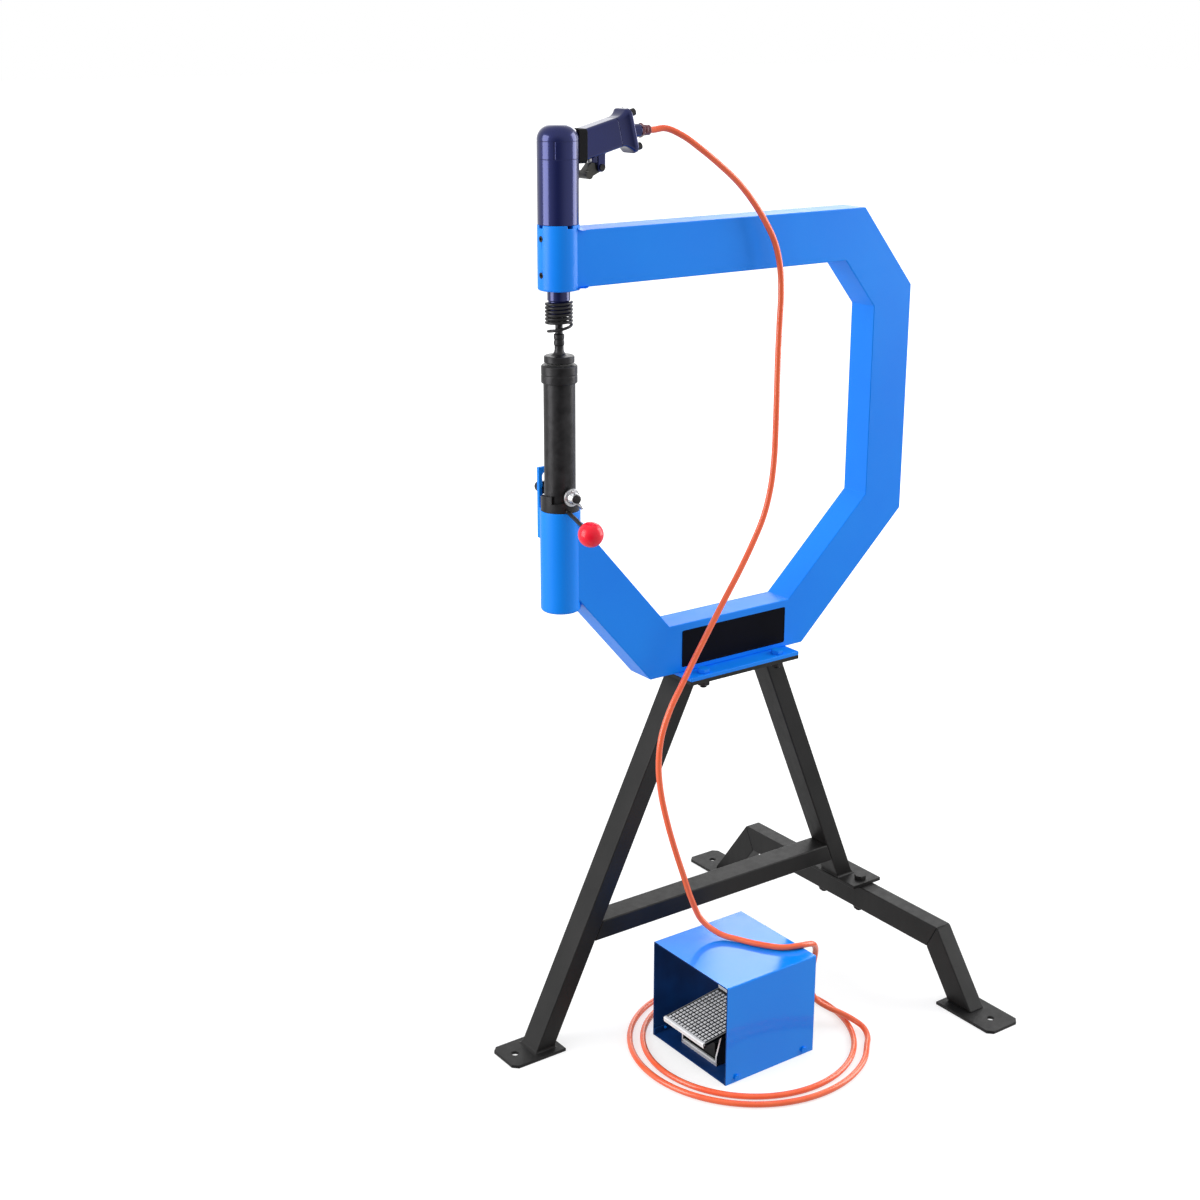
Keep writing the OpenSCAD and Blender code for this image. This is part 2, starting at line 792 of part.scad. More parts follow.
module retainer_spring() {
    coils = curl_path(retainer_r, retainer_pitch, retainer_curls, retainer_start_angle);
    tail_count = retainer_tail_curls * curl_rings;
    tail = [for (i = [1 : tail_count]) let (
        u = i / tail_count,
        a = retainer_start_angle - 360 * i / curl_rings,
        r = retainer_r + (retainer_tail_r - retainer_r) * u * u)
        [r * cos(a), r * sin(a), -retainer_pitch * retainer_curls - retainer_tail_drop * sin(90 * u)]];
    path = with_straight_ends(concat(coils, tail), retainer_wire);
    echo(retainer_spring_least_gap = least_gap(path, retainer_wire, curl_rings - 1));
    color(steel_black) placed() translate([0, 0, retainer_top]) swept_tube(path, retainer_wire, wire_sides);
}

module hammer_bit() {
    flare_z = die_z + die_h;
    collar_z = die_z + bit_collar_rise;
    neck_r = bit_neck_d / 2;
    color(steel_black) placed() turned([
        [0, die_z], [die_d / 2 - bit_chamfer, die_z], [die_d / 2, die_z + bit_chamfer],
        [die_d / 2, flare_z - bit_chamfer], [die_d / 2 - bit_chamfer, flare_z], [bit_flare_d / 2, flare_z],
        each [for (a = [15 : 15 : 90])
            [neck_r + (bit_flare_d / 2 - neck_r) * (1 - sin(a)), flare_z + bit_flare_h * (1 - cos(a))]],
        [neck_r, collar_z - bit_chamfer], [bit_collar_d / 2, collar_z],
        [bit_collar_d / 2, collar_z + bit_collar_h - bit_chamfer], [shank_d / 2, collar_z + bit_collar_h],
        [shank_d / 2, bit_top - bit_chamfer], [shank_d / 2 - bit_chamfer, bit_top], [0, bit_top]]);
}

module grip_gasket() {
    low = barrel_top - saddle_drop;
    high = cap_top - saddle_top_gap;
    color(rubber_black) placed() difference() {
        translate([0, 0, (low + high) / 2]) rotate([0, 90, 0])
            linear_extrude(grip_root_x) rounded_box(high - low, saddle_w, saddle_corner);
        rod_z(barrel_d + 2 * weld_gap, low - overrun, cap_top + overrun);
        translate([0, 0, grip_root_z]) rod_x(air_way_d, 0, grip_root_x + overrun);
    }
}

// Moves children drawn along X and Z into the tilted grip
module in_grip() { translate([grip_root_x, 0, grip_root_z]) rotate([0, -grip_tilt, 0]) children(); }

module grip_section(x0, x1, h, w, r) {
    translate([x0, 0, 0]) rotate([90, 0, 90]) linear_extrude(x1 - x0) rounded_box(w, h, r);
}

module gun_grip() {
    lug_y = trigger_w / 2 + free_gap;
    color(gun_navy) placed() difference() {
        union() {
            in_grip() grip_section(-grip_root_run, grip_l, grip_h, grip_w, grip_corner);
            for (y = [-lug_y - lug_w, lug_y]) {
                slab([pivot_x - lug_l / 2, pivot_x + lug_l / 2], [y, y + lug_w],
                    [pivot_z, grip_root_z - grip_corner]);
                translate([pivot_x, 0, pivot_z]) rod_y(lug_l, y, y + lug_w);
            }
        }
        slab([-grip_l, grip_root_x], [-grip_w, grip_w], [grip_root_z - grip_l, grip_root_z + grip_l]);
        in_grip() {
            rod_x(air_way_d, -grip_root_run, grip_l + overrun);
            translate([stem_run, 0, 0]) {
                rod_z(stem_d + 2 * screw_gap, -grip_h, stem_rise + stem_travel);
                rod_z(chamber_d, -chamber_h / 2, chamber_h / 2);
            }
        }
        translate([pivot_x, 0, pivot_z]) rod_y(pivot_pin_d + 2 * screw_gap, -grip_w, grip_w);
    }
}

module butt_screw_places() {
    out_y = butt_w / 2 - butt_screw_inset;
    out_z = butt_h / 2 - butt_screw_inset;
    for (y = [-1, 1], z = [-1, 1]) in_grip()
        translate([butt_end, y * out_y, z * out_z - butt_drop]) children();
}

// The butt hangs a little lower than the grip that it closes
module lowered() { translate([0, 0, -butt_drop]) children(); }

module grip_butt() {
    flare_end = grip_l + flare_l;
    waist = grip_l + flare_l * flare_run_share;
    waist_h = grip_h + (butt_h - grip_h) * flare_grow_share;
    waist_w = grip_w + (butt_w - grip_w) * flare_grow_share;
    color(gun_navy) placed() difference() {
        union() {
            in_grip() {
                hull() {
                    grip_section(grip_l, grip_l + skin, grip_h, grip_w, grip_corner, $fn = 32);
                    grip_section(waist, waist + skin, waist_h, waist_w, grip_corner, $fn = 32);
                }
                hull() {
                    grip_section(waist, waist + skin, waist_h, waist_w, grip_corner, $fn = 32);
                    lowered()
                        grip_section(flare_end, flare_end + skin, butt_h, butt_w, butt_corner, $fn = 32);
                }
                lowered() grip_section(flare_end, butt_end, butt_h, butt_w, butt_corner);
            }
            translate([0, 0, inlet_z]) rod_x(inlet_boss_d, inlet_x0 - butt_t, inlet_x1);
        }
        translate([0, 0, inlet_z]) rod_x(inlet_hole_d, inlet_x0 - butt_t - flare_l, inlet_x1 + overrun);
        butt_screw_places() rod_x(butt_screw_d + 2 * screw_gap, -butt_screw_l, overrun);
    }
}

module butt_screws() {
    color(steel_black) placed() butt_screw_places() {
        rod_x(butt_head_d, 0, butt_head_h);
        rod_x(butt_screw_d, -butt_screw_l, 0);
    }
}

module air_inlet() {
    color(collar_red) placed() translate([0, 0, inlet_z]) difference() {
        union() {
            rod_x_hex(inlet_hex, inlet_x1, inlet_x2);
            rod_x(inlet_collar_d, inlet_x2, inlet_x3);
            rod_x(inlet_hole_d - 2 * screw_gap, inlet_x0, inlet_x1);
        }
        rod_x(fitting_bore_d, inlet_x0 - overrun, inlet_x3 - inlet_collar_l / 2);
    }
}

module trigger() {
    color(trigger_olive) placed() translate([pivot_x, 0, pivot_z]) difference() {
        union() {
            side_view(trigger_w) hull() {
                circle(d = pivot_boss_d);
                translate([-roll_run, -roll_drop]) circle(d = roll_d);
            }
            side_view(trigger_w) hull() {
                translate([-pad_run, pad_rise]) circle(d = pad_d);
                translate([-roll_run, -roll_drop]) circle(d = roll_d);
            }
            translate([-roll_run, 0, -roll_drop]) rod_y(roll_d, -trigger_w, trigger_w);
        }
        rod_y(pivot_pin_d + 2 * running_gap, -trigger_w, trigger_w);
    }
}

module trigger_pin() {
    half = trigger_w / 2 + free_gap + lug_w;
    color(steel_black) placed() translate([pivot_x, 0, pivot_z]) {
        rod_y(pivot_pin_d, -half, half);
        rod_y(pin_head_d, -half - pin_head_h, -half);
        rod_y(pin_head_d, half, half + pin_head_h);
    }
}

module throttle_stem() {
    color(steel_bright) placed() in_grip() translate([stem_run, 0, 0])
        rod_z(stem_d, -stem_low, stem_rise);
}

module throttle_spring() {
    path = with_straight_ends(curl_path(throttle_r, throttle_pitch, throttle_curls, 0), throttle_wire);
    echo(throttle_spring_least_gap = least_gap(path, throttle_wire, curl_rings - 1));
    color(steel_bright) placed() in_grip() translate([stem_run, 0, throttle_pitch * throttle_curls / 2])
        swept_tube(path, throttle_wire, wire_sides);
}

// Anvil and its post

module anvil() {
    color(steel_black) placed() turned([
        [0, post_top - anvil_shank_h], [anvil_shank_d / 2 - shank_chamfer, post_top - anvil_shank_h],
        [anvil_shank_d / 2, post_top - anvil_shank_h + shank_chamfer], [anvil_shank_d / 2, post_top],
        [anvil_head_d / 2, post_top], [anvil_head_d / 2, anvil_top - anvil_chamfer],
        [anvil_head_d / 2 - anvil_chamfer, anvil_top], [0, anvil_top]]);
}

module anvil_post() {
    bottom = anvil_socket_z0 + anvil_socket_floor + post_floor_gap;
    color(steel_black) placed() difference() {
        rod_z(post_d, bottom, post_top);
        rod_z(anvil_shank_d + 2 * running_gap, bottom - overrun, post_top + overrun);
        translate([0, 0, bolt_z]) rod_y(bolt_d + 2 * screw_gap, -post_d, post_d);
    }
}

nut_y = washer_y + washer_t + nut_gap;
stop_y = tab_y + tab_t + stop_gap;

module post_bolt() {
    color(steel_black) placed() translate([0, 0, bolt_z]) {
        rod_y(bolt_d, -nut_y - wing_hub_h - bolt_tip, stop_y);
        translate([0, stop_y, 0]) rotate([-90, 0, 0]) hex_prism(stop_hex, 0, stop_h);
        rod_y(dome_d, stop_y + stop_h, stop_y + stop_h + dome_h / 2);
        translate([0, stop_y + stop_h + dome_h / 2, 0]) sphere(d = dome_d);
    }
}

module bolt_washer() {
    color(steel_bright) placed() translate([0, 0, bolt_z]) difference() {
        rod_y(washer_d, -washer_y - washer_t, -washer_y);
        rod_y(bolt_d + 2 * running_gap, -washer_y - washer_t - overrun, overrun);
    }
}

module wing_nut() {
    root = bolt_d / 2 + wing_t / 2;
    shoulder = wing_hub_d / 2;
    tip = -wing_hub_h - wing_flare;
    color(steel_bright) placed() translate([0, -nut_y, bolt_z]) rotate([0, -wing_angle, 0]) difference() {
        union() {
            rotate([90, 0, 0]) cylinder(d1 = wing_hub_d, d2 = wing_tip_d, h = wing_hub_h);
            for (a = [0, 180]) rotate([0, a, 0]) linear_extrude(wing_t, center = true)
                polygon([[root, -wing_t], [shoulder, -wing_t], [wing_reach, -wing_hub_h],
                    [wing_reach, tip], [shoulder + wing_t / 2, tip], [root, -wing_hub_h + wing_t / 2]]);
        }
        rod_y(bolt_d + 2 * running_gap, tip - overrun, overrun);
    }
}

// The space over one ramp, from its step round to just past the end of its rise
module over_ramp() {
    inner = post_d / 2 - overrun;
    outer = cam_d / 2 / cos(ramp_sweep / ramp_steps) + overrun;
    top = cam_lift + overrun;
    sweep = ramp_sweep + ramp_overlap;
    points = [for (i = [0 : ramp_steps]) let (a = sweep * i / ramp_steps, h = ramp_rate * a)
        each [[inner * cos(a), inner * sin(a), h], [outer * cos(a), outer * sin(a), h],
            [outer * cos(a), outer * sin(a), top], [inner * cos(a), inner * sin(a), top]]];
    last = 4 * ramp_steps;
    walls = [for (i = [0 : ramp_steps - 1], k = [0 : 3]) let (a = 4 * i + k, b = 4 * i + (k + 1) % 4)
        each [[a, b, b + 4], [a, b + 4, a + 4]]];
    caps = [[0, 2, 1], [0, 3, 2], [last, last + 1, last + 2], [last, last + 2, last + 3]];
    polyhedron(points, concat(walls, caps));
}

module cam_collar() {
    color(steel_black) placed() difference() {
        rod_z(cam_d, cam_z, cam_z + cam_low_h + cam_lift);
        rod_z(post_d + 2 * cam_bore_gap, cam_z - overrun, cam_z + cam_low_h + cam_lift + overrun);
        for (a = [0, 180]) translate([0, 0, cam_z + cam_low_h]) rotate([0, 0, step_angle + a]) over_ramp();
        lever_line() rod_x(lever_d + 2 * knob_hole_gap, -lever_root(), cam_d);
    }
}

// Moves children drawn along X onto the lever's line, from the collar's wall outwards
module lever_line() {
    rotate([0, 0, lever_angle]) translate([cam_d / 2, 0, lever_z]) rotate([0, lever_tilt, 0]) children();
}
function lever_root() = (cam_d - post_d) / 2 * lever_root_share;
function lever_length() = (lever_reach - cam_d / 2) / cos(lever_tilt);

module cam_lever() {
    color(steel_black) placed() lever_line()
        rod_x(lever_d, -lever_root(), lever_length() - knob_d * knob_depth_share);
}

module ball_knob() {
    color(knob_red) placed() lever_line() difference() {
        translate([lever_length(), 0, 0]) sphere(d = knob_d);
        rod_x(lever_d + 2 * knob_hole_gap, 0, lever_length() - knob_d * knob_depth_share);
    }
}

// Stand

// One leg in side view, cut level at both ends; stretch carries the cut ends past them
function leg_half(top, foot, t) = t / 2 / cos(atan2(top[0] - foot[0], top[1] - foot[1]));
function leg_x(top, foot, z) = foot[0] + (top[0] - foot[0]) * (z - foot[1]) / (top[1] - foot[1]);
function leg_outline(top, foot, t, stretch) = let (
    h = leg_half(top, foot, t),
    z0 = foot[1] - stretch,
    z1 = top[1] + stretch,
    x0 = leg_x(top, foot, z0),
    x1 = leg_x(top, foot, z1)) [[x0 - h, z0], [x0 + h, z0], [x1 + h, z1], [x1 - h, z1]];

front_ends = [[front_top_x, stand_height], [front_foot_x, foot_t]];
rear_ends = [[rear_top_x, stand_height], [beam_x - rear_foot_inset, base_top]];

module leg(ends) {
    difference() {
        side_view(leg_w) polygon(leg_outline(ends[0], ends[1], leg_t, 0));
        side_view(leg_w - 2 * tube_wall)
            polygon(leg_outline(ends[0], ends[1], leg_t - 2 * tube_wall, overrun));
    }
}

module front_leg() { color(stand_black) placed() leg(front_ends); }
module rear_leg() { color(stand_black) placed() leg(rear_ends); }

// The brace between the legs, cut to lie on both; stretch carries its ends past them
function leg_side(ends, z, side) = leg_x(ends[0], ends[1], z) + side * leg_half(ends[0], ends[1], leg_t);
function brace_outline(z0, z1, stretch) = let (gap = brace_l_gap - stretch) [
    for (z = [z0, z1]) [leg_side(front_ends, z, 1) + gap, z],
    for (z = [z1, z0]) [leg_side(rear_ends, z, -1) - gap, z]];

module leg_brace() {
    color(stand_black) placed() difference() {
        side_view(leg_w) polygon(brace_outline(brace_top - leg_t, brace_top, 0));
        side_view(leg_w - 2 * tube_wall)
            polygon(brace_outline(brace_top - leg_t + tube_wall, brace_top - tube_wall, overrun));
    }
}

// A foot plate along X from its tip to its heel, with the tip's corners clipped and one anchor hole
module foot_plate(tip, heel, hole) {
    difference() {
        linear_extrude(foot_t) polygon([
            [heel, -foot_w / 2], [tip - foot_clip, -foot_w / 2], [tip, -foot_w / 2 + foot_clip],
            [tip, foot_w / 2 - foot_clip], [tip - foot_clip, foot_w / 2], [heel, foot_w / 2]]);
        translate([hole, 0, 0]) rod_z(anchor_d, -overrun, foot_t + overrun);
    }
}

module front_foot() {
    color(stand_black) placed() rotate([0, 0, 180])
        foot_plate(anchor_x + front_foot_tip, -front_foot_x - front_foot_back, anchor_x);
}

function slope_out_y(z) = beam_bend_y + (beam_top - z) / tan(beam_slope);
function slope_in_y(z) = beam_bend_y - mitre_in + (beam_bottom - z) / tan(beam_slope);
function mitre_y(z) = beam_bend_y - mitre_in * (beam_top - z) / leg_w;

module rear_foot() { foot_plate(anchor_y + rear_foot_tip, slope_in_y(foot_t) - rear_foot_in, anchor_y); }
module at_beam() { translate([beam_x, 0, 0]) children(); }
module near_foot() { color(stand_black) placed() at_beam() rotate([0, 0, -90]) rear_foot(); }
module far_foot() { color(stand_black) placed() at_beam() rotate([0, 0, 90]) rear_foot(); }

module base_bolt_places() { for (y = [-1, 1]) translate([beam_x, y * base_bolt_y, 0]) children(); }

module cross_beam() {
    color(stand_black) placed() difference() {
        at_beam() end_view(leg_t) polygon([
            for (s = [-1, 1]) [s * mitre_y(beam_bottom), beam_bottom],
            for (s = [1, -1]) [s * mitre_y(beam_top), beam_top]]);
        at_beam() end_view(leg_t - 2 * tube_wall) polygon([
            for (s = [-1, 1]) [s * (mitre_y(beam_bottom + tube_wall) + overrun), beam_bottom + tube_wall],
            for (s = [1, -1]) [s * (mitre_y(beam_top - tube_wall) + overrun), beam_top - tube_wall]]);
        base_bolt_places() rod_z(screw_d + 2 * screw_gap, beam_bottom - overrun, beam_top + overrun);
    }
}

// One sloping end of the cross beam on the +Y side
module slope() {
    wall_y = tube_wall / sin(beam_slope);
    low = foot_t - overrun;
    high_in = beam_bottom + tube_wall;
    high_out = beam_top - tube_wall;
    difference() {
        at_beam() end_view(leg_t) polygon([
            [mitre_y(beam_top), beam_top], [slope_out_y(foot_t), foot_t], [slope_in_y(foot_t), foot_t],
            [mitre_y(beam_bottom), beam_bottom]]);
        at_beam() end_view(leg_t - 2 * tube_wall) polygon([
            [mitre_y(high_out) - overrun, high_out], [mitre_y(high_out), high_out],
            [slope_out_y(low) - wall_y, low], [slope_in_y(low) + wall_y, low],
            [mitre_y(high_in), high_in], [mitre_y(high_in) - overrun, high_in]]);
    }
}

module far_slope() { color(stand_black) placed() slope(); }
module near_slope() { color(stand_black) placed() mirror([0, 1, 0]) slope(); }

module leg_base() {
    color(stand_black) placed() difference() {
        slab([beam_x - base_l / 2, beam_x + base_l / 2], [-base_w / 2, base_w / 2], [beam_top, base_top]);
        base_bolt_places() rod_z(screw_d + 2 * screw_gap, beam_top - overrun, base_top + overrun);
    }
}

module beam_bolts() {
    color(steel_black) placed() base_bolt_places() {
        bolt_head(screw_d, base_top);
        rod_z(screw_d, beam_bottom - screw_d * nut_h_share - thread_out, base_top);
    }
}

module beam_nuts() { color(steel_black) placed() base_bolt_places() nut(screw_d, beam_bottom); }

// Foot valve

module in_pedal() { translate([pedal_x, pedal_y, 0]) children(); }

module guard_screw_places() {
    for (x = [guard_screw_inset, guard_l - guard_screw_inset], s = [0, 180])
        in_pedal() translate([x, 0, guard_screw_z]) rotate([0, 0, s]) children();
}

module pedal_guard() {
    inside = guard_w / 2 - guard_t;
    color(frame_blue) placed() difference() {
        in_pedal() difference() {
            slab([0, guard_l], [-guard_w / 2, guard_w / 2], [0, guard_h]);
            slab([-overrun, guard_l + overrun], [-inside, inside], [-overrun, guard_h - guard_t]);
        }
        guard_screw_places() rod_y(guard_screw_d + 2 * screw_gap, 0, guard_w);
    }
}

module pedal_pan() {
    half = guard_w / 2 - guard_t - pan_gap;
    color(frame_blue) placed() difference() {
        in_pedal() difference() {
            slab([0, guard_l], [-half, half], [0, pan_flange]);
            slab([-overrun, guard_l + overrun], [-half + pan_t, half - pan_t],
                [pan_t, pan_flange + overrun]);
        }
        guard_screw_places() rod_y(guard_screw_d + 2 * screw_gap, 0, guard_w);
    }
}

module guard_screws() {
    color(steel_bright) placed() guard_screw_places() {
        rod_y(guard_head_d, guard_w / 2, guard_w / 2 + guard_head_h);
        rod_y(guard_screw_d, guard_w / 2 - guard_screw_l, guard_w / 2);
    }
}

module pedal_base() {
    floor_z = pan_t + base_plate_t;
    color(cast_grey) placed() in_pedal() difference() {
        union() {
            slab([base_front, guard_l - base_tail], [-base_half_w, base_half_w], [pan_t, floor_z]);
            for (s = [-1, 1]) translate([0, s * (base_half_w - ear_t / 2), 0]) side_view(ear_t)
                polygon([[base_front, pan_t], [base_front + ear_l, pan_t], [base_front + ear_l, ear_toe_h],
                    [pin_x + ear_back, ear_top], [pin_x - ear_ahead, ear_front], [base_front, ear_toe_h]]);
        }
        translate([pin_x, 0, pin_z]) rod_y(treadle_pin_d + 2 * running_gap, -guard_w, guard_w);
    }
}

module in_treadle() { in_pedal() translate([pin_x, 0, pin_z]) rotate([0, -treadle_tilt, 0]) children(); }

module treadle() {
    lug_y = base_half_w - ear_t - lug_inset;
    tail = treadle_l - treadle_nose;
    top = treadle_over + treadle_t;
    color(cast_grey) placed() in_treadle() difference() {
        union() {
            slab([-treadle_nose, tail], [-treadle_w / 2, treadle_w / 2], [treadle_over, top]);
            slab([tail - toe_cap_l, tail], [-treadle_w / 2, treadle_w / 2], [treadle_over, top + toe_cap_h]);
            for (y = [-lug_y, lug_y - treadle_lug_t]) {
                rod_y(2 * treadle_lug_r, y, y + treadle_lug_t);
                slab([-treadle_lug_r, treadle_lug_r], [y, y + treadle_lug_t], [0, treadle_over]);
            }
            translate([rib_run, 0, -rib_drop]) rod_y(rib_d, -rib_w / 2, rib_w / 2);
            slab([rib_run - rib_d / 2, rib_run + rib_d / 2], [-rib_w / 2, rib_w / 2],
                [-rib_drop, treadle_over]);
        }
        rod_y(treadle_pin_d + 2 * running_gap, -guard_w, guard_w);
    }
}

module treadle_pin() {
    half = base_half_w + pin_out;
    color(steel_bright) placed() in_pedal() translate([pin_x, 0, pin_z]) rod_y(treadle_pin_d, -half, half);
}

module treadle_spring() {
    path = with_straight_ends(curl_path(torsion_r, torsion_pitch, torsion_curls, 90), torsion_wire);
    echo(treadle_spring_least_gap = least_gap(path, torsion_wire, curl_rings - 1));
    color(steel_bright) placed() in_pedal() translate([pin_x, -torsion_pitch * torsion_curls / 2, pin_z])
        rotate([90, 0, 0]) swept_tube(path, torsion_wire, wire_sides);
}

module valve_body() {
    floor_z = pan_t + base_plate_t;
    color(rubber_black) placed() in_pedal() difference() {
        slab([valve_x0, valve_x1], [-valve_half_w, valve_half_w], [floor_z, valve_top]);
        translate([rib_x, 0, 0]) rod_z(plunger_d + 2 * running_gap, plunger_floor, valve_top + overrun);
        translate([0, 0, port_z]) rod_x(port_d, valve_x1 - port_depth, valve_x1 + overrun);
        translate([0, supply_y, port_z]) rod_x(port_d, valve_x1 - port_depth, valve_x1 + overrun);
    }
}

module valve_plunger() {
    color(steel_bright) placed() in_pedal() translate([rib_x, 0, 0])
        rod_z(plunger_d, plunger_floor + plunger_stroke + free_gap, plunger_top);
}

module valve_fitting() {
    x2 = valve_x1 + fitting_hex_t;
    x3 = x2 + fitting_collar_l;
    color(collar_red) placed() in_pedal() translate([0, 0, port_z]) difference() {
        union() {
            rod_x(port_d - 2 * screw_gap, valve_x1 - port_depth + overrun, valve_x1);
            rod_x_hex(fitting_hex, valve_x1, x2);
            rod_x(fitting_collar_d, x2, x3);
        }
        rod_x(fitting_bore_d, valve_x1 - port_depth, x3 - fitting_collar_l / 2);
    }
}

// Air hose

function loop_r(a) = loop_outer_r + (loop_inner_r - loop_outer_r) * a / loop_sweep;
function loop_point(a) = let (r = loop_r(a), turn = loop_start - a)
    [loop_x + r * cos(turn), loop_y + r * sin(turn), loop_z];

loop_points = [for (i = [0 : loop_sweep * loop_rings / 360]) loop_point(i * 360 / loop_rings)];
loop_entry = loop_points[0] + hose_d * unit(loop_points[0] - loop_points[1]);
loop_lead = loop_entry + hose_d * unit(loop_points[0] - loop_points[1]);

// The loops end straight, and the last turn is an arc of one radius that rises to face the port
loop_heading = loop_start - loop_sweep - 90;
loop_exit = loop_points[len(loop_points) - 1] + hose_d * [cos(loop_heading), sin(loop_heading), 0];
turn_angle = 180 - (-loop_heading) % 360;
turn_start = loop_exit + hose_d * [cos(loop_heading), sin(loop_heading), 0];
turn_r = (turn_start[1] - pedal_y) / (cos(loop_heading) + 1);
function turn_point(u) = let (h = loop_heading - turn_angle * u)
    [turn_start[0] + turn_r * (sin(loop_heading) - sin(h)),
        turn_start[1] + turn_r * (cos(h) - cos(loop_heading)),
        loop_z + (port_z - loop_z) * (1 - cos(180 * u)) / 2];

module air_hose_drop() {
    bend = smooth_path(concat([hose_start + [hose_d, 0, 0]], hose_points, [loop_lead]), hose_cuts);
    path = concat([hose_start], bend, [loop_entry]);
    echo(air_hose_drop_least_gap = least_gap(path, hose_d, hose_sides));
    color(hose_orange) placed() swept_tube(path, hose_d, hose_sides);
}

module air_hose_loops() {
    path = concat([loop_entry], loop_points, [loop_exit]);
    echo(air_hose_loops_least_gap = least_gap(path, hose_d, loop_rings / 2));
    color(hose_orange) placed() swept_tube(path, hose_d, loop_sides);
}

module air_hose_tail() {
    turn = [for (i = [0 : turn_rings]) turn_point(i / turn_rings)];
    path = concat([loop_exit], turn, [[port_x, pedal_y, port_z]]);
    color(hose_orange) placed() swept_tube(path, hose_d, hose_sides);
}

c_frame();
hammer_socket();
anvil_socket();
post_guide();
base_flange();
label_plate();
socket_screws();
gun_barrel();
gun_band();
gun_cap();
valve_block();
piston();
grip_gasket();
gun_grip();
grip_butt();
butt_screws();
air_inlet();
trigger();
trigger_pin();
throttle_stem();
throttle_spring();
retainer_spring();
hammer_bit();
anvil();
anvil_post();
post_bolt();
bolt_washer();
wing_nut();
cam_collar();
cam_lever();
ball_knob();
stand_plate();
front_leg();
rear_leg();
leg_brace();
front_foot();
leg_base();
cross_beam();
near_slope();
far_slope();
near_foot();
far_foot();
flange_bolts();
flange_nuts();
beam_bolts();
beam_nuts();
pedal_guard();
pedal_pan();
guard_screws();
pedal_base();
treadle();
treadle_pin();
treadle_spring();
valve_body();
valve_plunger();
valve_fitting();
air_hose_drop();
air_hose_loops();
air_hose_tail();
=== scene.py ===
import json
import math

import bmesh
import bpy
from mathutils import Matrix, Vector


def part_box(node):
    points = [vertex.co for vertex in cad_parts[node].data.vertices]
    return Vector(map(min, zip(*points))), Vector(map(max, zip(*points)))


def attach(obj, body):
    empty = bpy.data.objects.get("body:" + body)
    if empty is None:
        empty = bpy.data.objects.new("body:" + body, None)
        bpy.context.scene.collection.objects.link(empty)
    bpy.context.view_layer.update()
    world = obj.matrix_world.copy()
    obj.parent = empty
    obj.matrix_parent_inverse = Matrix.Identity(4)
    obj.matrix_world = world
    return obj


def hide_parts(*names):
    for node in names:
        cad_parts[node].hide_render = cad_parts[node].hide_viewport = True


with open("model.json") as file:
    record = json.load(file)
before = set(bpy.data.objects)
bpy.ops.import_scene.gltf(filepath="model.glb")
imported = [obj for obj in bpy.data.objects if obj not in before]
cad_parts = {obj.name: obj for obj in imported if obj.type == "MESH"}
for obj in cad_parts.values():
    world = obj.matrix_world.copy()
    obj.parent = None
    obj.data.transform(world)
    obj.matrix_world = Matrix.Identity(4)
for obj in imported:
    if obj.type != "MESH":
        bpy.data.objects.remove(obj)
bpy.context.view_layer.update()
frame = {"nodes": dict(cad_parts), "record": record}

# Sizes of the machine are in millimetres, and MM turns them into metres. As in the solids, X counts
# from the hammer axis
MM = 0.001
MACHINE = "machine"


def middle(node):
    low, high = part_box(node)
    return (low + high) / 2


hammer_x = middle("gun_barrel").x


def at(x, y, z):
    return Vector((hammer_x + x * MM, y * MM, z * MM))


# The camera stands where the photograph was taken
camera_data = bpy.data.cameras.new("photo_camera")
camera_data.lens = 55.0
camera_data.sensor_width = 36.0
camera_data.clip_end = 100.0
camera = bpy.data.objects.new("photo_camera", camera_data)
camera.location = (-1.6529, -2.0463, 1.5011)
camera.rotation_euler = (math.radians(72.18), 0.0, math.radians(-35.48))
bpy.context.scene.collection.objects.link(camera)
bpy.context.scene.camera = camera


# Smooth lines through points


def smooth_line(points, cuts):
    spans = [(b - a).length for a, b in zip(points, points[1:])]
    slopes = [(points[1] - points[0]) / spans[0]]
    for i in range(1, len(points) - 1):
        before = (points[i] - points[i - 1]) / spans[i - 1]
        after = (points[i + 1] - points[i]) / spans[i]
        slopes.append((before * spans[i] + after * spans[i - 1]) / (spans[i - 1] + spans[i]))
    slopes.append((points[-1] - points[-2]) / spans[-1])
    line = []
    for i, span in enumerate(spans):
        for k in range(cuts):
            u = k / cuts
            start = points[i] * (2 * u**3 - 3 * u**2 + 1) + slopes[i] * span * (u**3 - 2 * u**2 + u)
            end = points[i + 1] * (3 * u**2 - 2 * u**3) + slopes[i + 1] * span * (u**3 - u**2)
            line.append(start + end)
    line.append(points[-1])
    return line


def line_length(line):
    return sum((b - a).length for a, b in zip(line, line[1:]))


def round_bar(name, line, diameter, sides=4):
    data = bpy.data.curves.new(name, "CURVE")
    data.dimensions = "3D"
    data.bevel_depth = 1.0
    data.bevel_resolution = sides
    data.use_fill_caps = True
    spline = data.splines.new("POLY")
    spline.points.add(len(line) - 1)
    for place, point in zip(spline.points, line):
        place.co = (*point, 1.0)
        place.radius = diameter / 2
    spline.use_smooth = True
    piece = bpy.data.objects.new(name, data)
    bpy.context.scene.collection.objects.link(piece)
    return piece


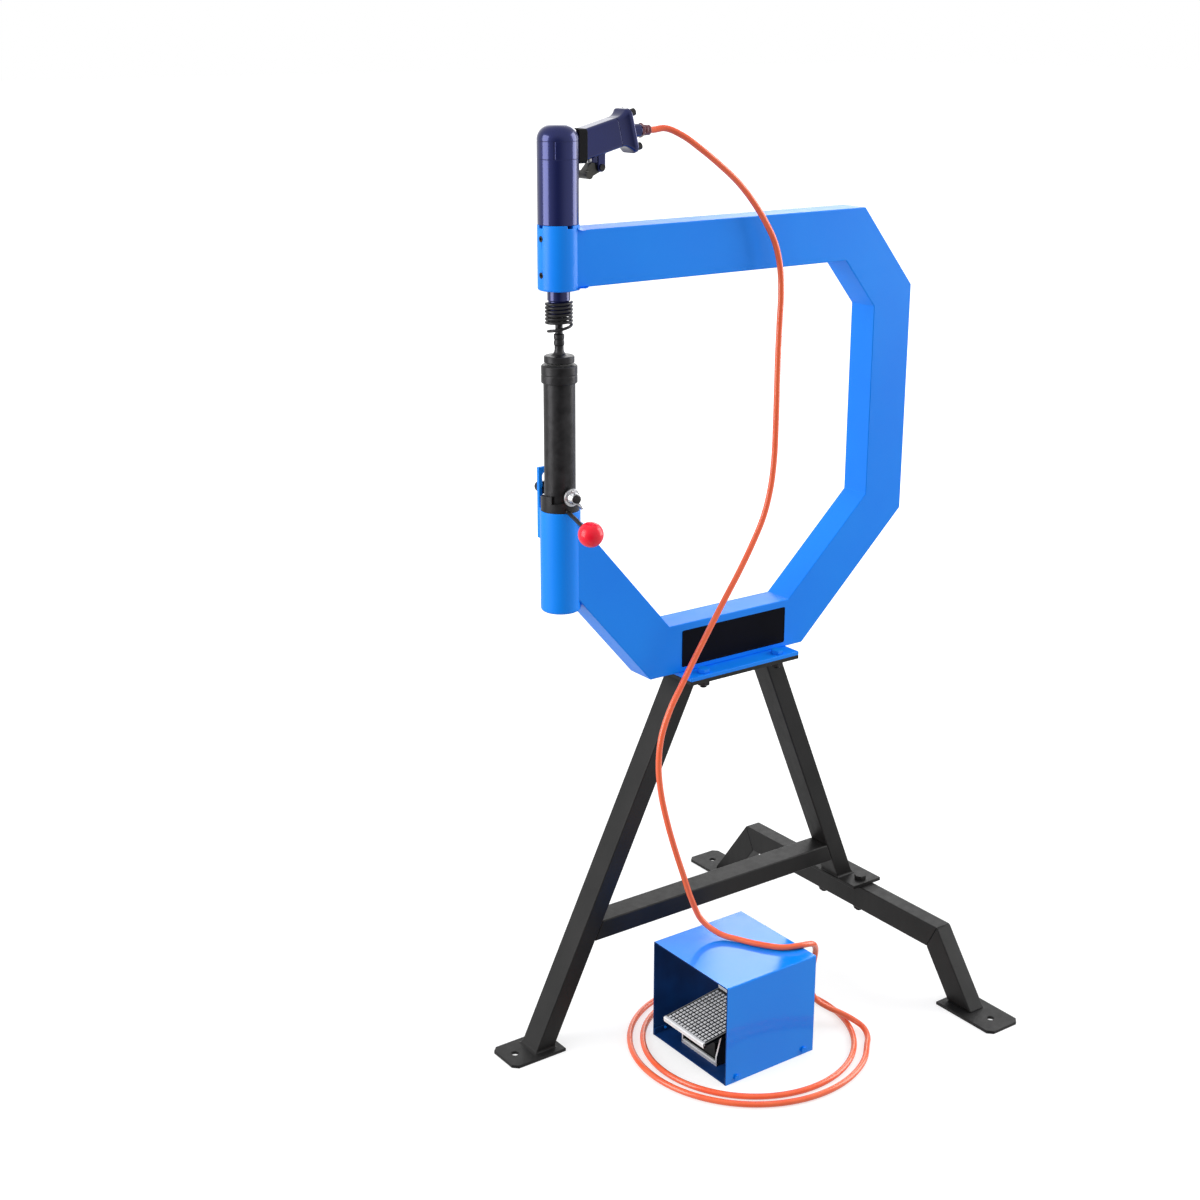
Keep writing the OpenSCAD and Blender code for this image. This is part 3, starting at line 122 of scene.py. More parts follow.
# The air hose: from the hammer's inlet down over the guard, twice round on the floor, into the valve
HOSE_D = 9
HOSE_ROUTE = (
    (174, -2, 1349), (199, -10, 1339), (224, -19, 1321), (253, -27, 1298), (282, -34, 1272),
    (306, -39, 1244), (326, -42, 1216), (341, -45, 1188), (350, -47, 1155), (353, -48, 1118),
    (351, -49, 1075), (349, -50, 1025), (348, -51, 975), (347, -52, 925), (345, -53, 875),
    (339, -54, 832), (325, -56, 790), (303, -57, 750), (277, -59, 712), (250, -60, 675),
    (223, -61, 637), (197, -61, 598), (171, -62, 559), (147, -65, 525), (130, -68, 488),
    (124, -70, 448), (127, -72, 404), (136, -75, 358), (149, -78, 310), (164, -82, 261),
    (176, -88, 219), (187, -99, 187), (203, -121, 169), (221, -150, 165), (238, -181, 165),
    (259, -206, 165), (286, -217, 165), (309, -215, 159), (324, -206, 142), (330, -197, 117),
    (330, -190, 90), (334, -187, 62), (345, -190, 40), (361, -200, 26), (375, -216, 18),
    (383, -234, 13), (386, -251, 9),
)
LOOP_MIDDLE = (222, -166)
LOOP_OUTER = 186
LOOP_INNER = 150
LOOP_START = -40
LOOP_SWEEP = 645
LOOP_STEP = 15
LOOP_Z = 5
TURN_STEPS = 8
HOSE_CUTS = 5
HOSE_SIDES = 6


def loop_point(swept):
    radius = LOOP_OUTER + (LOOP_INNER - LOOP_OUTER) * swept / LOOP_SWEEP
    angle = math.radians(LOOP_START - swept)
    x = LOOP_MIDDLE[0] + radius * math.cos(angle)
    y = LOOP_MIDDLE[1] + radius * math.sin(angle)
    return at(x, y, LOOP_Z)


def hose_line():
    inlet = middle("air_inlet")
    start = Vector((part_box("air_inlet")[1].x, inlet.y, inlet.z))
    fitting = middle("valve_fitting")
    port = Vector((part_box("valve_fitting")[1].x, fitting.y, fitting.z))
    straight = HOSE_D * MM
    points = [start, start + Vector((straight, 0, 0))]
    points += [at(*place) for place in HOSE_ROUTE]
    loops = [loop_point(swept) for swept in range(0, LOOP_SWEEP + 1, LOOP_STEP)]
    lead = (loops[0] - loops[1]).normalized()
    points += [loops[0] + lead * straight, *loops]
    heading = math.radians(LOOP_START - LOOP_SWEEP - 90)
    ahead = Vector((math.cos(heading), math.sin(heading), 0))
    turn_start = loops[-1] + ahead * 2 * straight
    points += [loops[-1] + ahead * straight, turn_start]
    turn_angle = math.radians(180 - (LOOP_SWEEP + 90 - LOOP_START) % 360)
    radius = (turn_start.y - port.y) / (math.cos(heading) + 1)
    for step in range(1, TURN_STEPS + 1):
        share = step / TURN_STEPS
        facing = heading - turn_angle * share
        points.append(Vector((
            turn_start.x + radius * (math.sin(heading) - math.sin(facing)),
            turn_start.y + radius * (math.cos(facing) - math.cos(heading)),
            turn_start.z + (port.z - turn_start.z) * (1 - math.cos(math.pi * share)) / 2,
        )))
    points.append(port)
    return smooth_line(points, HOSE_CUTS)


hose_run = hose_line()
hose = round_bar("air_hose", hose_run, HOSE_D * MM, HOSE_SIDES)
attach(hose, MACHINE)
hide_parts("air_hose_drop", "air_hose_loops", "air_hose_tail")
line_length(hose_run)


# Finishes. A Value is one output of a node, and arithmetic on it adds Math nodes


class Value:
    def __init__(self, work, socket):
        self.work = work
        self.socket = socket

    def maths(self, operation, first, second):
        return self.work.node("ShaderNodeMath", {"operation": operation}, {0: first, 1: second})

    def __add__(self, other):
        return self.maths("ADD", self, other)

    def __radd__(self, other):
        return self.maths("ADD", other, self)

    def __rsub__(self, other):
        return self.maths("SUBTRACT", other, self)

    def __mul__(self, other):
        return self.maths("MULTIPLY", self, other)

    def __rmul__(self, other):
        return self.maths("MULTIPLY", other, self)

    def __pow__(self, other):
        return self.maths("POWER", self, other)


class NodeWork:
    def __init__(self, tree):
        self.tree = tree

    def node(self, kind, settings, sockets, output=0):
        made = self.tree.nodes.new(kind)
        for key, setting in settings.items():
            if key == "stops":
                while len(made.color_ramp.elements) < len(setting):
                    made.color_ramp.elements.new(1.0)
                for element, (place, colour) in zip(made.color_ramp.elements, setting):
                    element.position = place
                    element.color = colour
            else:
                setattr(made, key, setting)
        self.fill(made, sockets)
        return Value(self, made.outputs[output])

    def fill(self, made, sockets):
        for key, content in sockets.items():
            if isinstance(content, Value):
                self.tree.links.new(content.socket, made.inputs[key])
            else:
                made.inputs[key].default_value = content

    def along(self, vector, direction):
        """How far a vector goes along a direction."""
        settings = {"operation": "DOT_PRODUCT"}
        return self.node("ShaderNodeVectorMath", settings, {0: vector, 1: direction}, "Value")

    def larger(self, first, second):
        return self.node("ShaderNodeMath", {"operation": "MAXIMUM"}, {0: first, 1: second})


def paint(red, green, blue):
    """A colour as seen on a screen, turned into the light values that the shader needs."""
    shares = [part / 255 for part in (red, green, blue)]
    return (*[s / 12.92 if s <= 0.04045 else ((s + 0.055) / 1.055) ** 2.4 for s in shares], 1.0)


class Finish(NodeWork):
    def __init__(self, name):
        self.material = bpy.data.materials.new(name)
        self.material.use_nodes = True
        super().__init__(self.material.node_tree)
        self.shader = next(n for n in self.tree.nodes if n.type == "BSDF_PRINCIPLED")

    def here(self, output="Object"):
        return self.node("ShaderNodeTexCoord", {}, {}, output)

    def place(self, stretch):
        return self.node("ShaderNodeVectorMath", {"operation": "MULTIPLY"}, {0: self.here(), 1: stretch})

    def noise(self, scale, detail=2.0, stretch=(1.0, 1.0, 1.0)):
        sockets = {"Vector": self.place(stretch), "Scale": scale, "Detail": detail}
        return self.node("ShaderNodeTexNoise", {}, sockets)

    def pits(self, scale):
        return self.node("ShaderNodeTexVoronoi", {}, {"Vector": self.here(), "Scale": scale})

    def band(self, value, low, high):
        stops = ((low, (0, 0, 0, 1)), (high, (1, 1, 1, 1)))
        return self.node("ShaderNodeValToRGB", {"stops": stops}, {"Fac": value})

    def spread(self, value, low, high):
        return self.node("ShaderNodeMapRange", {}, {"Value": value, "From Min": low, "From Max": high})

    def blend(self, share, first, second):
        return self.node("ShaderNodeMix", {"data_type": "RGBA"}, {0: share, 6: first, 7: second}, 2)

    def bump(self, height, strength, distance):
        sockets = {"Height": height, "Strength": strength, "Distance": distance}
        return self.node("ShaderNodeBump", {}, sockets)

    def surface(self, **sockets):
        names = {
            "base": "Base Color", "rough": "Roughness", "metal": "Metallic", "coat": "Coat Weight",
            "coat_rough": "Coat Roughness", "normal": "Normal", "specular": "Specular IOR Level",
            "glow": "Emission Color", "glow_strength": "Emission Strength",
        }
        self.fill(self.shader, {names[key]: content for key, content in sockets.items()})
        return self.material


def enamel(name, light, deep, low_rough, coat, specular, metal=0.0):
    """Sprayed paint, plain or metallic: a broad drift of tone, fine orange peel and a clear coat."""
    f = Finish(name)
    tone = f.band(f.noise(5.0, 3.0), 0.3, 0.7)
    film = f.noise(45.0, 4.0)
    peel = f.noise(520.0, 2.0)
    return f.surface(
        base=f.blend(tone, deep, light), rough=low_rough + film * 0.14, coat=coat, coat_rough=0.1,
        specular=specular, metal=metal, normal=f.bump(peel, 0.05, 0.0004))


def powder_coat(name, light, deep, low_rough, specular):
    """Satin powder coat: a fine pebbled skin with lighter handling marks."""
    f = Finish(name)
    tone = f.band(f.noise(14.0, 5.0), 0.35, 0.75)
    pebble = f.noise(1300.0, 2.0)
    scuff = f.noise(90.0, 6.0, (1.0, 1.0, 0.25))
    return f.surface(
        base=f.blend(tone, deep, light), rough=low_rough + scuff * 0.22, specular=specular,
        normal=f.bump(pebble, 0.22, 0.0004))


def turned_metal(name, light, deep, metal, low_rough):
    """Lathe-turned steel: fine rings round the vertical axis and a patchy oxide skin."""
    f = Finish(name)
    ring = f.noise(1.0, 2.0, (30.0, 30.0, 2600.0))
    patch = f.band(f.noise(70.0, 5.0), 0.35, 0.7)
    return f.surface(
        base=f.blend(patch, deep, light), rough=low_rough + ring * 0.16 + patch * 0.08, metal=metal,
        normal=f.bump(ring, 0.1, 0.0002))


def plated(name, light, deep, low_rough):
    """Zinc-plated steel: bright, faintly mottled, with tiny scratches."""
    f = Finish(name)
    mottle = f.band(f.pits(420.0), 0.1, 0.8)
    scratch = f.noise(300.0, 6.0, (1.0, 0.15, 1.0))
    return f.surface(
        base=f.blend(mottle, light, deep), rough=low_rough + scratch * 0.2, metal=0.9,
        normal=f.bump(scratch, 0.06, 0.0002))


def cast_metal(name, light, deep, metal, low_rough):
    """Sand-cast alloy: a grainy skin with shallow pits."""
    f = Finish(name)
    grain = f.noise(620.0, 4.0)
    patch = f.band(f.noise(55.0, 4.0), 0.3, 0.75)
    pit = f.band(f.pits(700.0), 0.05, 0.4)
    return f.surface(
        base=f.blend(patch, deep, light), rough=low_rough + grain * 0.25, metal=metal,
        normal=f.bump(grain * 0.6 + pit * 0.4, 0.25, 0.0004))


def moulded(name, light, deep, low_rough, coat, specular):
    """Moulded plastic or rubber: a soft sheen with a faint flow of tone."""
    f = Finish(name)
    flow = f.band(f.noise(30.0, 3.0, (1.0, 1.0, 0.4)), 0.3, 0.7)
    skin = f.noise(900.0, 2.0)
    return f.surface(
        base=f.blend(flow, deep, light), rough=low_rough + skin * 0.1, coat=coat, coat_rough=0.1,
        specular=specular, normal=f.bump(skin, 0.05, 0.0003))


def worn_tread(name, bare, dark, up, low, high, ahead):
    """Black-painted alloy, worn bright on the studs, told by their height, and on its front edge."""
    f = Finish(name)
    grain = f.noise(620.0, 4.0)
    height = f.along(f.here(), up)
    crest = f.spread(height, low, high)
    front = f.band(f.along(f.here("Normal"), ahead), 0.35, 0.6)
    worn = f.larger(crest, front) * (0.7 + f.noise(60.0, 4.0) * 0.4)
    return f.surface(
        base=f.blend(worn, dark, bare), rough=0.5 - worn * 0.12 + grain * 0.1, metal=worn * 0.1,
        normal=f.bump(grain, 0.15, 0.0003))


def alloy_front_and_painted_shade(name, bare, dark, toward):
    """Bare metal on the cut edges that face one way, and dark painted shade on every other face."""
    f = Finish(name)
    grain = f.noise(520.0, 4.0)
    edge = f.band(f.along(f.here("Normal"), toward), 0.75, 0.9)
    return f.surface(
        base=f.blend(edge, dark, bare), rough=0.55 - edge * 0.2 + grain * 0.1, metal=edge * 0.6,
        normal=f.bump(grain, 0.15, 0.0003))


TREADLE_TILT = 8
TREADLE_PIVOT = (158, -159, 46)


def on_treadle(x, y, z):
    """A place on the treadle, counted from its pivot along its slope, as a point at rest."""
    slope = math.radians(TREADLE_TILT)
    along = x * math.cos(slope) - z * math.sin(slope)
    up = x * math.sin(slope) + z * math.cos(slope)
    return at(TREADLE_PIVOT[0] + along, TREADLE_PIVOT[1] + y, TREADLE_PIVOT[2] + up)


TREAD_TOP = 14.0
STUD_TOP = 15.0
tread_up = (on_treadle(0, 0, 1) - on_treadle(0, 0, 0)).normalized()
tread_low = on_treadle(0, 0, TREAD_TOP).dot(tread_up)
tread_high = on_treadle(0, 0, STUD_TOP).dot(tread_up)
FRONT_WAY = (-1.0, 0.0, 0.0)

FINISHES = {
    "blue_paint": enamel("blue_paint", paint(10, 140, 254), paint(6, 130, 250), 0.3, 0.06, 0.24),
    # Glossier than the frame's paint, and a touch lighter as painted light, making up for the light the
    # guard gets less of.
    "guard_gloss_painted_light": enamel("guard_gloss_painted_light", paint(6, 142, 255), paint(3, 134, 253), 0.03, 0.2, 0.3),
    "navy_enamel": enamel("navy_enamel", paint(22, 34, 104), paint(13, 23, 82), 0.16, 0.7, 0.4, 0.55),
    "olive_paint": enamel("olive_paint", paint(50, 48, 38), paint(36, 35, 28), 0.24, 0.4, 0.5),
    "black_powder": powder_coat("black_powder", paint(32, 31, 31), paint(20, 20, 20), 0.36, 0.3),
    "label_black": powder_coat("label_black", paint(8, 9, 22), paint(3, 4, 14), 0.3, 0.06),
    "black_oxide": turned_metal("black_oxide", paint(52, 51, 53), paint(32, 31, 33), 0.5, 0.24),
    "bright_steel": plated("bright_steel", paint(232, 232, 234), paint(200, 201, 204), 0.2),
    "cast_alloy": cast_metal("cast_alloy", paint(214, 215, 217), paint(184, 186, 189), 0.2, 0.32),
    "valve_black": cast_metal("valve_black", paint(26, 26, 28), paint(14, 14, 16), 0.0, 0.4),
    "black_rubber": moulded("black_rubber", paint(14, 14, 19), paint(8, 8, 11), 0.6, 0.0, 0.15),
    "red_plastic": moulded("red_plastic", paint(255, 10, 52), paint(246, 6, 44), 0.24, 0.2, 0.4),
    "fitting_red": enamel("fitting_red", paint(120, 30, 56), paint(84, 18, 36), 0.2, 0.6, 0.5),
    "hose_orange": moulded("hose_orange", paint(253, 112, 66), paint(248, 96, 52), 0.2, 0.5, 0.5),
    "tread": worn_tread(
        "tread", paint(250, 250, 252), paint(22, 22, 24), tread_up, tread_low, tread_high, FRONT_WAY),
    # Painted shade: the pedal base is dark on all but its front faces, standing for the shade round its
    # recess.
    "base_alloy_and_painted_shade": alloy_front_and_painted_shade("base_alloy_and_painted_shade", paint(240, 240, 243), paint(24, 24, 26), FRONT_WAY),
    # Painted shade: a dark blue for the guard's inner faces and its pan, standing for the shade inside
    # the guard.
    "guard_inside_painted_shade": powder_coat("guard_inside_painted_shade", paint(6, 62, 128), paint(3, 42, 94), 0.5, 0.15),
}
hose.data.materials.append(FINISHES["hose_orange"])


# Which finish and which body each solid has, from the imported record
node_slot = {entry["node"]: entry["material_slot"] for entry in frame["record"]["subparts"]}
node_body = {}
for body, members in frame["record"]["behaviour"]["bodies"].items():
    for name in members:
        node_body[name] = body


def dress(piece, node, finish):
    """Lets a piece move with a solid's body, and gives it the finish of that solid's slot or another one.
    """
    slot = node_slot[node]
    piece.data.materials.clear()
    piece.data.materials.append(FINISHES[finish or slot])
    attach(piece, node_body[node])


def smooth_mesh(name, shape, sharp):
    """A Blender object from a bmesh, shaded smooth apart from its sharp edges."""
    bmesh.ops.recalc_face_normals(shape, faces=shape.faces)
    mesh = bpy.data.meshes.new(name)
    shape.to_mesh(mesh)
    shape.free()
    if "custom_normal" in mesh.attributes:
        mesh.attributes.remove(mesh.attributes["custom_normal"])
    mesh.shade_smooth()
    mesh.set_sharp_from_angle(angle=math.radians(sharp))
    piece = bpy.data.objects.new(name, mesh)
    bpy.context.scene.collection.objects.link(piece)
    return piece


# Shapes made here. A shape is a list of points and a list of faces


def joined_rings(rings, loop=False):
    """Rings of equal count joined side to side: both ends filled, or the last joined to the first."""
    sides = len(rings[0])
    points = [point for ring in rings for point in ring]
    faces = []
    for start in range(0, len(points) - (0 if loop else sides), sides):
        for k in range(sides):
            turn = (k + 1) % sides
            after = (start + sides) % len(points)
            faces.append((start + k, start + turn, after + turn, after + k))
    if not loop:
        faces.append(tuple(range(sides)))
        faces.append(tuple(range(len(points) - sides, len(points))))
    return points, faces


def add_shapes(name, node, shapes, finish=None, sharp=40, stands=True):
    """One piece from several shapes, on the body of a solid, which it stands for or adds to."""
    made = bmesh.new()
    for points, faces in shapes:
        corners = [made.verts.new(point) for point in points]
        for face in faces:
            made.faces.new([corners[i] for i in face])
    piece = smooth_mesh(name, made, sharp)
    dress(piece, node, finish)
    even = piece.modifiers.new("even_shading", "WEIGHTED_NORMAL")
    even.keep_sharp = True
    if stands:
        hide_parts(node)
    return piece


def eased(points, cut, steps=4):
    """An open outline with each inner corner rounded off."""
    longest_share = 0.45
    line = [Vector(points[0])]
    for before, corner, after in zip(points, points[1:], points[2:]):
        corner = Vector(corner)
        back = Vector(before) - corner
        ahead = Vector(after) - corner
        start = corner + back.normalized() * min(cut, back.length * longest_share)
        end = corner + ahead.normalized() * min(cut, ahead.length * longest_share)
        for i in range(steps + 1):
            u = i / steps
            line.append(start * (1 - u) ** 2 + corner * 2 * u * (1 - u) + end * u * u)
    line.append(Vector(points[-1]))
    return line


def arc(middle_r, middle_h, radius, first, last, steps=12):
    """Points of radius and height on a round, from one angle to another in degrees."""
    angles = [math.radians(first + (last - first) * i / steps) for i in range(steps + 1)]
    return [(middle_r + radius * math.cos(a), middle_h + radius * math.sin(a)) for a in angles]


def cross_axes(axis):
    """Two unit ways square to an axis and to each other."""
    side = Vector((0, 0, 1)) if abs(axis.z) < 0.7 else Vector((1, 0, 0))
    first = (side - axis * side.dot(axis)).normalized()
    return first, axis.cross(first)


def turned(profile, base, axis, sides=72, loop=False):
    """A lathe shape from points of radius and height in millimetres along an axis."""
    first, second = cross_axes(axis)
    rings = []
    for radius, height in profile:
        middle_point = base + axis * height * MM
        ring = []
        for k in range(sides):
            angle = math.tau * k / sides
            way = first * math.cos(angle) + second * math.sin(angle)
            ring.append(middle_point + way * radius * MM)
        rings.append(ring)
    return joined_rings(rings, loop)


def hexagon(base, axis, flats, height, chamfer=1.0, turn=0):
    """A hexagon head or nut with its corners turned off at the outer end, turned by some degrees."""
    first, second = cross_axes(axis)
    flat = flats / 2
    corner = flat / math.cos(math.radians(30))
    steps = (
        (0.0, flat * 0.96, flat * 0.96), (0.4, corner, flat), (height - chamfer, corner, flat),
        (height - chamfer * 0.3, corner * 0.955, flat * 0.99), (height, flat * 0.93, flat * 0.93),
    )
    side_points = 4
    count = 6 * side_points
    rings = []
    for h, at_corner, at_flat in steps:
        ring = []
        for k in range(count):
            off = abs((k % side_points) - 2) / 2
            radius = at_flat + (at_corner - at_flat) * off * off
            if off == 0.5:
                radius = at_flat / math.cos(math.radians(15)) if at_corner > at_flat else at_flat
            angle = math.tau * k / count + math.radians(turn)
            way = first * math.cos(angle) + second * math.sin(angle)
            ring.append(base + axis * h * MM + way * radius * MM)
        rings.append(ring)
    return joined_rings(rings)


def threaded(base, axis, diameter, length, pitch=1.5):
    """A threaded end: crests and roots in rings, with a chamfered tip."""
    outer = diameter / 2
    root = outer - pitch * 0.5
    profile = [(root * 0.4, 0.0), (root, 0.0)]
    for i in range(int(length / pitch)):
        profile += [(outer, (i + 0.35) * pitch), (outer, (i + 0.5) * pitch), (root, (i + 0.85) * pitch)]
    profile += [(root, length - 0.6), (root - 0.8, length), (root * 0.3, length)]
    return turned(profile, base, axis, 32)


def rounded_outline(width, height, corner, steps=6):
    """A rectangle with round corners, as points across and up."""
    points = []
    for quarter, (side, up) in enumerate(((1, 1), (-1, 1), (-1, -1), (1, -1))):
        for i in range(steps + 1):
            angle = math.radians(90 * quarter + 90 * i / steps)
            points.append((side * (width / 2 - corner) + corner * math.cos(angle),
                           up * (height / 2 - corner) + corner * math.sin(angle)))
    return points


def plate(outline, low, high, soft, place):
    """An outline between two levels with soft rims; place turns across, up and level into a point."""
    across = [point[0] for point in outline]
    up = [point[1] for point in outline]
    mid = ((max(across) + min(across)) / 2, (max(up) + min(up)) / 2)
    half = ((max(across) - min(across)) / 2, (max(up) - min(up)) / 2)
    rings = []
    for inset, level in ((soft, low), (soft * 0.3, low + soft * 0.3), (0, low + soft), (0, high - soft),
                         (soft * 0.3, high - soft * 0.3), (soft, high)):
        share = (1 - inset / half[0], 1 - inset / half[1])
        rings.append([place(mid[0] + (a - mid[0]) * share[0], mid[1] + (b - mid[1]) * share[1], level)
                      for a, b in outline])
    return joined_rings(rings)


FILLET_SUNK = 0.3


def corner_fill(path, steps=6, loop=False):
    """A hollow fillet between two faces. Each entry: a corner, then the reach along each face."""
    rings = []
    for corner, first, second in path:
        ring = []
        for i in range(steps + 1):
            u = i / steps
            ring.append(corner + first * MM * (1 - u) ** 2 + second * MM * u * u)
        ring.append(corner - (first + second).normalized() * FILLET_SUNK * MM)
        rings.append(ring)
    return joined_rings(rings, loop)


BEAD_STEP = 1.2
BEAD_STEPS = 3
BEAD_SHARE = 0.07


def weld_ring(corners, outward, along, reach):
    """A rippled weld bead round a tube's outline where it stands on a face."""
    path = []
    count = len(corners)
    for i in range(count):
        start, end = corners[i], corners[(i + 1) % count]
        ways = outward[i], outward[(i + 1) % count]
        cuts = max(2, int((end - start).length / (BEAD_STEP * MM)))
        for k in range(cuts):
            share = k / cuts
            way = ways[0].lerp(ways[1], share)
            ripple = reach * (1 + BEAD_SHARE * math.sin(math.tau * k / BEAD_STEPS))
            path.append((start.lerp(end, share), way * ripple, along * ripple))
    return corner_fill(path, 4, True)


# Solids with their edges softened
SAME_POINT = 0.01 * MM
FLAT_ANGLE = math.radians(0.5)
NEAR = 0.05 * MM


def softened(node, width, cuts=3, sharp=35, clamp=False, finish=None, chosen=None):
    """A copy of a solid with its edges, or the chosen ones, rounded off, standing for that solid."""
    shape = bmesh.new()
    shape.from_mesh(frame["nodes"][node].data)
    bmesh.ops.remove_doubles(shape, verts=shape.verts, dist=SAME_POINT)
    bmesh.ops.dissolve_limit(shape, angle_limit=FLAT_ANGLE, verts=shape.verts, edges=shape.edges)
    if chosen:
        edges = [edge for edge in shape.edges if chosen(edge)]
        bmesh.ops.bevel(shape, geom=edges, offset=width * MM, offset_type="OFFSET", segments=cuts,
                        profile=0.5, affect="EDGES", clamp_overlap=True)
    piece = smooth_mesh(node + "_finished", shape, sharp)
    dress(piece, node, finish)
    if not chosen:
        bevel = piece.modifiers.new("rounded_edges", "BEVEL")
        bevel.width = width * MM
        bevel.segments = cuts
        bevel.limit_method = "ANGLE"
        bevel.angle_limit = math.radians(sharp)
        bevel.use_clamp_overlap = clamp
    even = piece.modifiers.new("even_shading", "WEIGHTED_NORMAL")
    even.keep_sharp = True
    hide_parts(node)
    return piece


def box_edge(node):
    """Tells the edges on the outer corners of a block from those round its holes."""
    low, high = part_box(node)

    def on_corner(edge):
        shared = 0
        for axis in range(3):
            for level in (low[axis], high[axis]):
                shared += all(abs(v.co[axis] - level) < NEAR for v in edge.verts)
        return shared >= 2

    return on_corner


EDGE_ROUNDING = {
    "hammer_socket": 0.8, "anvil_socket": 0.8, "post_guide": 1.5, "base_flange": 0.8,
    "socket_screws": 0.4, "gun_band": 0.5, "gun_grip": 1.0, "trigger_pin": 0.5, "anvil_post": 0.6,
    "bolt_washer": 0.4, "stand_plate": 0.8, "front_leg": 1.8, "rear_leg": 1.8, "leg_brace": 1.8,
    "front_foot": 0.8, "leg_base": 0.8, "cross_beam": 1.8, "near_slope": 1.8, "far_slope": 1.8,
    "near_foot": 0.8, "far_foot": 0.8, "treadle_pin": 0.5, "valve_plunger": 0.3,
}
for node, width in EDGE_ROUNDING.items():
    softened(node, width)
softened("guard_screws", 0.5, finish="blue_paint")
# The pan inside the guard takes the dark blue of painted shade.
softened("pedal_pan", 0.5, finish="guard_inside_painted_shade")
softened("grip_gasket", 0.8, finish="black_rubber")
softened("valve_body", 1.2, chosen=box_edge("valve_body"))
softened("trigger", 0.8, clamp=True)
softened("cam_collar", 0.5, clamp=True)
# The pedal base shows bare alloy on its front faces and painted shade on the rest.
softened("pedal_base", 0.5, clamp=True, finish="base_alloy_and_painted_shade")

FACE_Y = 25 * MM
COPE_X = at(16, 0, 0).x


def long_frame_edge(edge):
    """An outer edge of the box section, apart from those at the sockets."""
    on_side = all(abs(abs(v.co.y) - FACE_Y) < NEAR for v in edge.verts)
    at_socket = all(v.co.x < COPE_X for v in edge.verts)
    return on_side and not at_socket


softened("c_frame", 3.0, cuts=5, sharp=30, chosen=long_frame_edge)

GUARD_UNDER = 158 * MM
GUARD_INSIDE = 86.1 * MM


def guard_fold(edge):
    """An edge along one of the guard's two folds."""
    along = (edge.verts[0].co - edge.verts[1].co).normalized()
    high = all(v.co.z > GUARD_UNDER - NEAR for v in edge.verts)
    lengthwise = abs(along.x) > 0.99
    return high and lengthwise and edge.calc_face_angle(0) > math.radians(30)


# The guard's outer paint is glossier than the frame's and a touch lighter as painted light.
guard = softened("pedal_guard", 1.9, cuts=5, sharp=30, finish="guard_gloss_painted_light", chosen=guard_fold)
# Inner faces of the guard get the dark blue of painted shade; the outer faces keep the guard's paint.
guard.data.materials.append(FINISHES["guard_inside_painted_shade"])
guard_mid = middle("pedal_guard").y
for face in guard.data.polygons:
    between = abs(face.center.y - guard_mid) < GUARD_INSIDE
    face.material_index = 1 if between and face.center.z < GUARD_UNDER + NEAR else 0


# Air hammer
UP = Vector((0, 0, 1))
hammer_axis = at(0, 0, 0)

NOSE_Z = 1112
SOCKET_LOW = 1144
SOCKET_TOP = 1231
BARREL_TOP = 1316
BAND_TOP = 1339
CAP_TOP = 1359.5
BARREL_R = 28
BARREL_SIDES = 96
SHANK_BORE_R = 5.3
NOSE_R = 14.3
NECK_R = 15.7
NECK_Z = 1130
BODY_R = 20
BODY_Z = SOCKET_LOW + 0.2
PISTON_BORE_R = 12.1
PISTON_BORE_Z = 1150
barrel_outline = eased([
    (SHANK_BORE_R, NOSE_Z + 20), (SHANK_BORE_R, NOSE_Z), (NOSE_R, NOSE_Z), (NOSE_R, NECK_Z),
    (NECK_R, NECK_Z), (NECK_R, BODY_Z), (BODY_R, BODY_Z), (BODY_R, SOCKET_TOP),
    (BARREL_R, SOCKET_TOP), (BARREL_R, BARREL_TOP),
    (PISTON_BORE_R, BARREL_TOP), (PISTON_BORE_R, PISTON_BORE_Z)], 0.9)
barrel = turned(barrel_outline, hammer_axis, UP, BARREL_SIDES, True)
add_shapes("gun_barrel_finished", "gun_barrel", [barrel], sharp=50)

CAP_ROUND = 19
PLUG_R = 11.9
PLUG_Z = 1312
SPIGOT_R = 19
cap_outline = [(0.5, PLUG_Z), (PLUG_R, PLUG_Z), (PLUG_R, BARREL_TOP)]
cap_outline += [(SPIGOT_R, BARREL_TOP), (SPIGOT_R, BAND_TOP)]
cap_outline += eased([
    (SPIGOT_R + 0.2, BAND_TOP), (BARREL_R, BAND_TOP), (BARREL_R, BAND_TOP + 1.4)], 0.5)
cap_outline += arc(BARREL_R - CAP_ROUND, CAP_TOP - CAP_ROUND, CAP_ROUND, 0, 88, 18)
cap_outline += [(0.5, CAP_TOP)]
cap_dome = turned(cap_outline, hammer_axis, UP, BARREL_SIDES)
add_shapes("gun_cap_finished", "gun_cap", [cap_dome], sharp=50)

GRIP_TILT = 14
GRIP_ROOT = (36.5, 1332.5)


def on_grip(x, y, z):
    """A place on the tilted grip, counted along its axis from its root."""
    slope = math.radians(GRIP_TILT)
    return at(GRIP_ROOT[0] + x * math.cos(slope) - z * math.sin(slope), y,
              GRIP_ROOT[1] + x * math.sin(slope) + z * math.cos(slope))


grip_axis = (on_grip(1, 0, 0) - on_grip(0, 0, 0)).normalized()
GRIP_END = 57
FLARE_END = 73.5
BUTT_END = 79.5
GRIP_SIZE = (30, 40, 6)
BUTT_SIZE = (38, 60, 9)
BUTT_DROP = 3
FLARE_STEPS = 12


def grip_ring(x, grown, inset=0.0):
    """The grip's section at one place, grown from the grip's size to the butt's."""
    width, height, corner = [a + (b - a) * grown for a, b in zip(GRIP_SIZE, BUTT_SIZE)]
    outline = rounded_outline(width - 2 * inset, height - 2 * inset, corner - inset)
    return [on_grip(x, across, up - BUTT_DROP * grown) for across, up in outline]


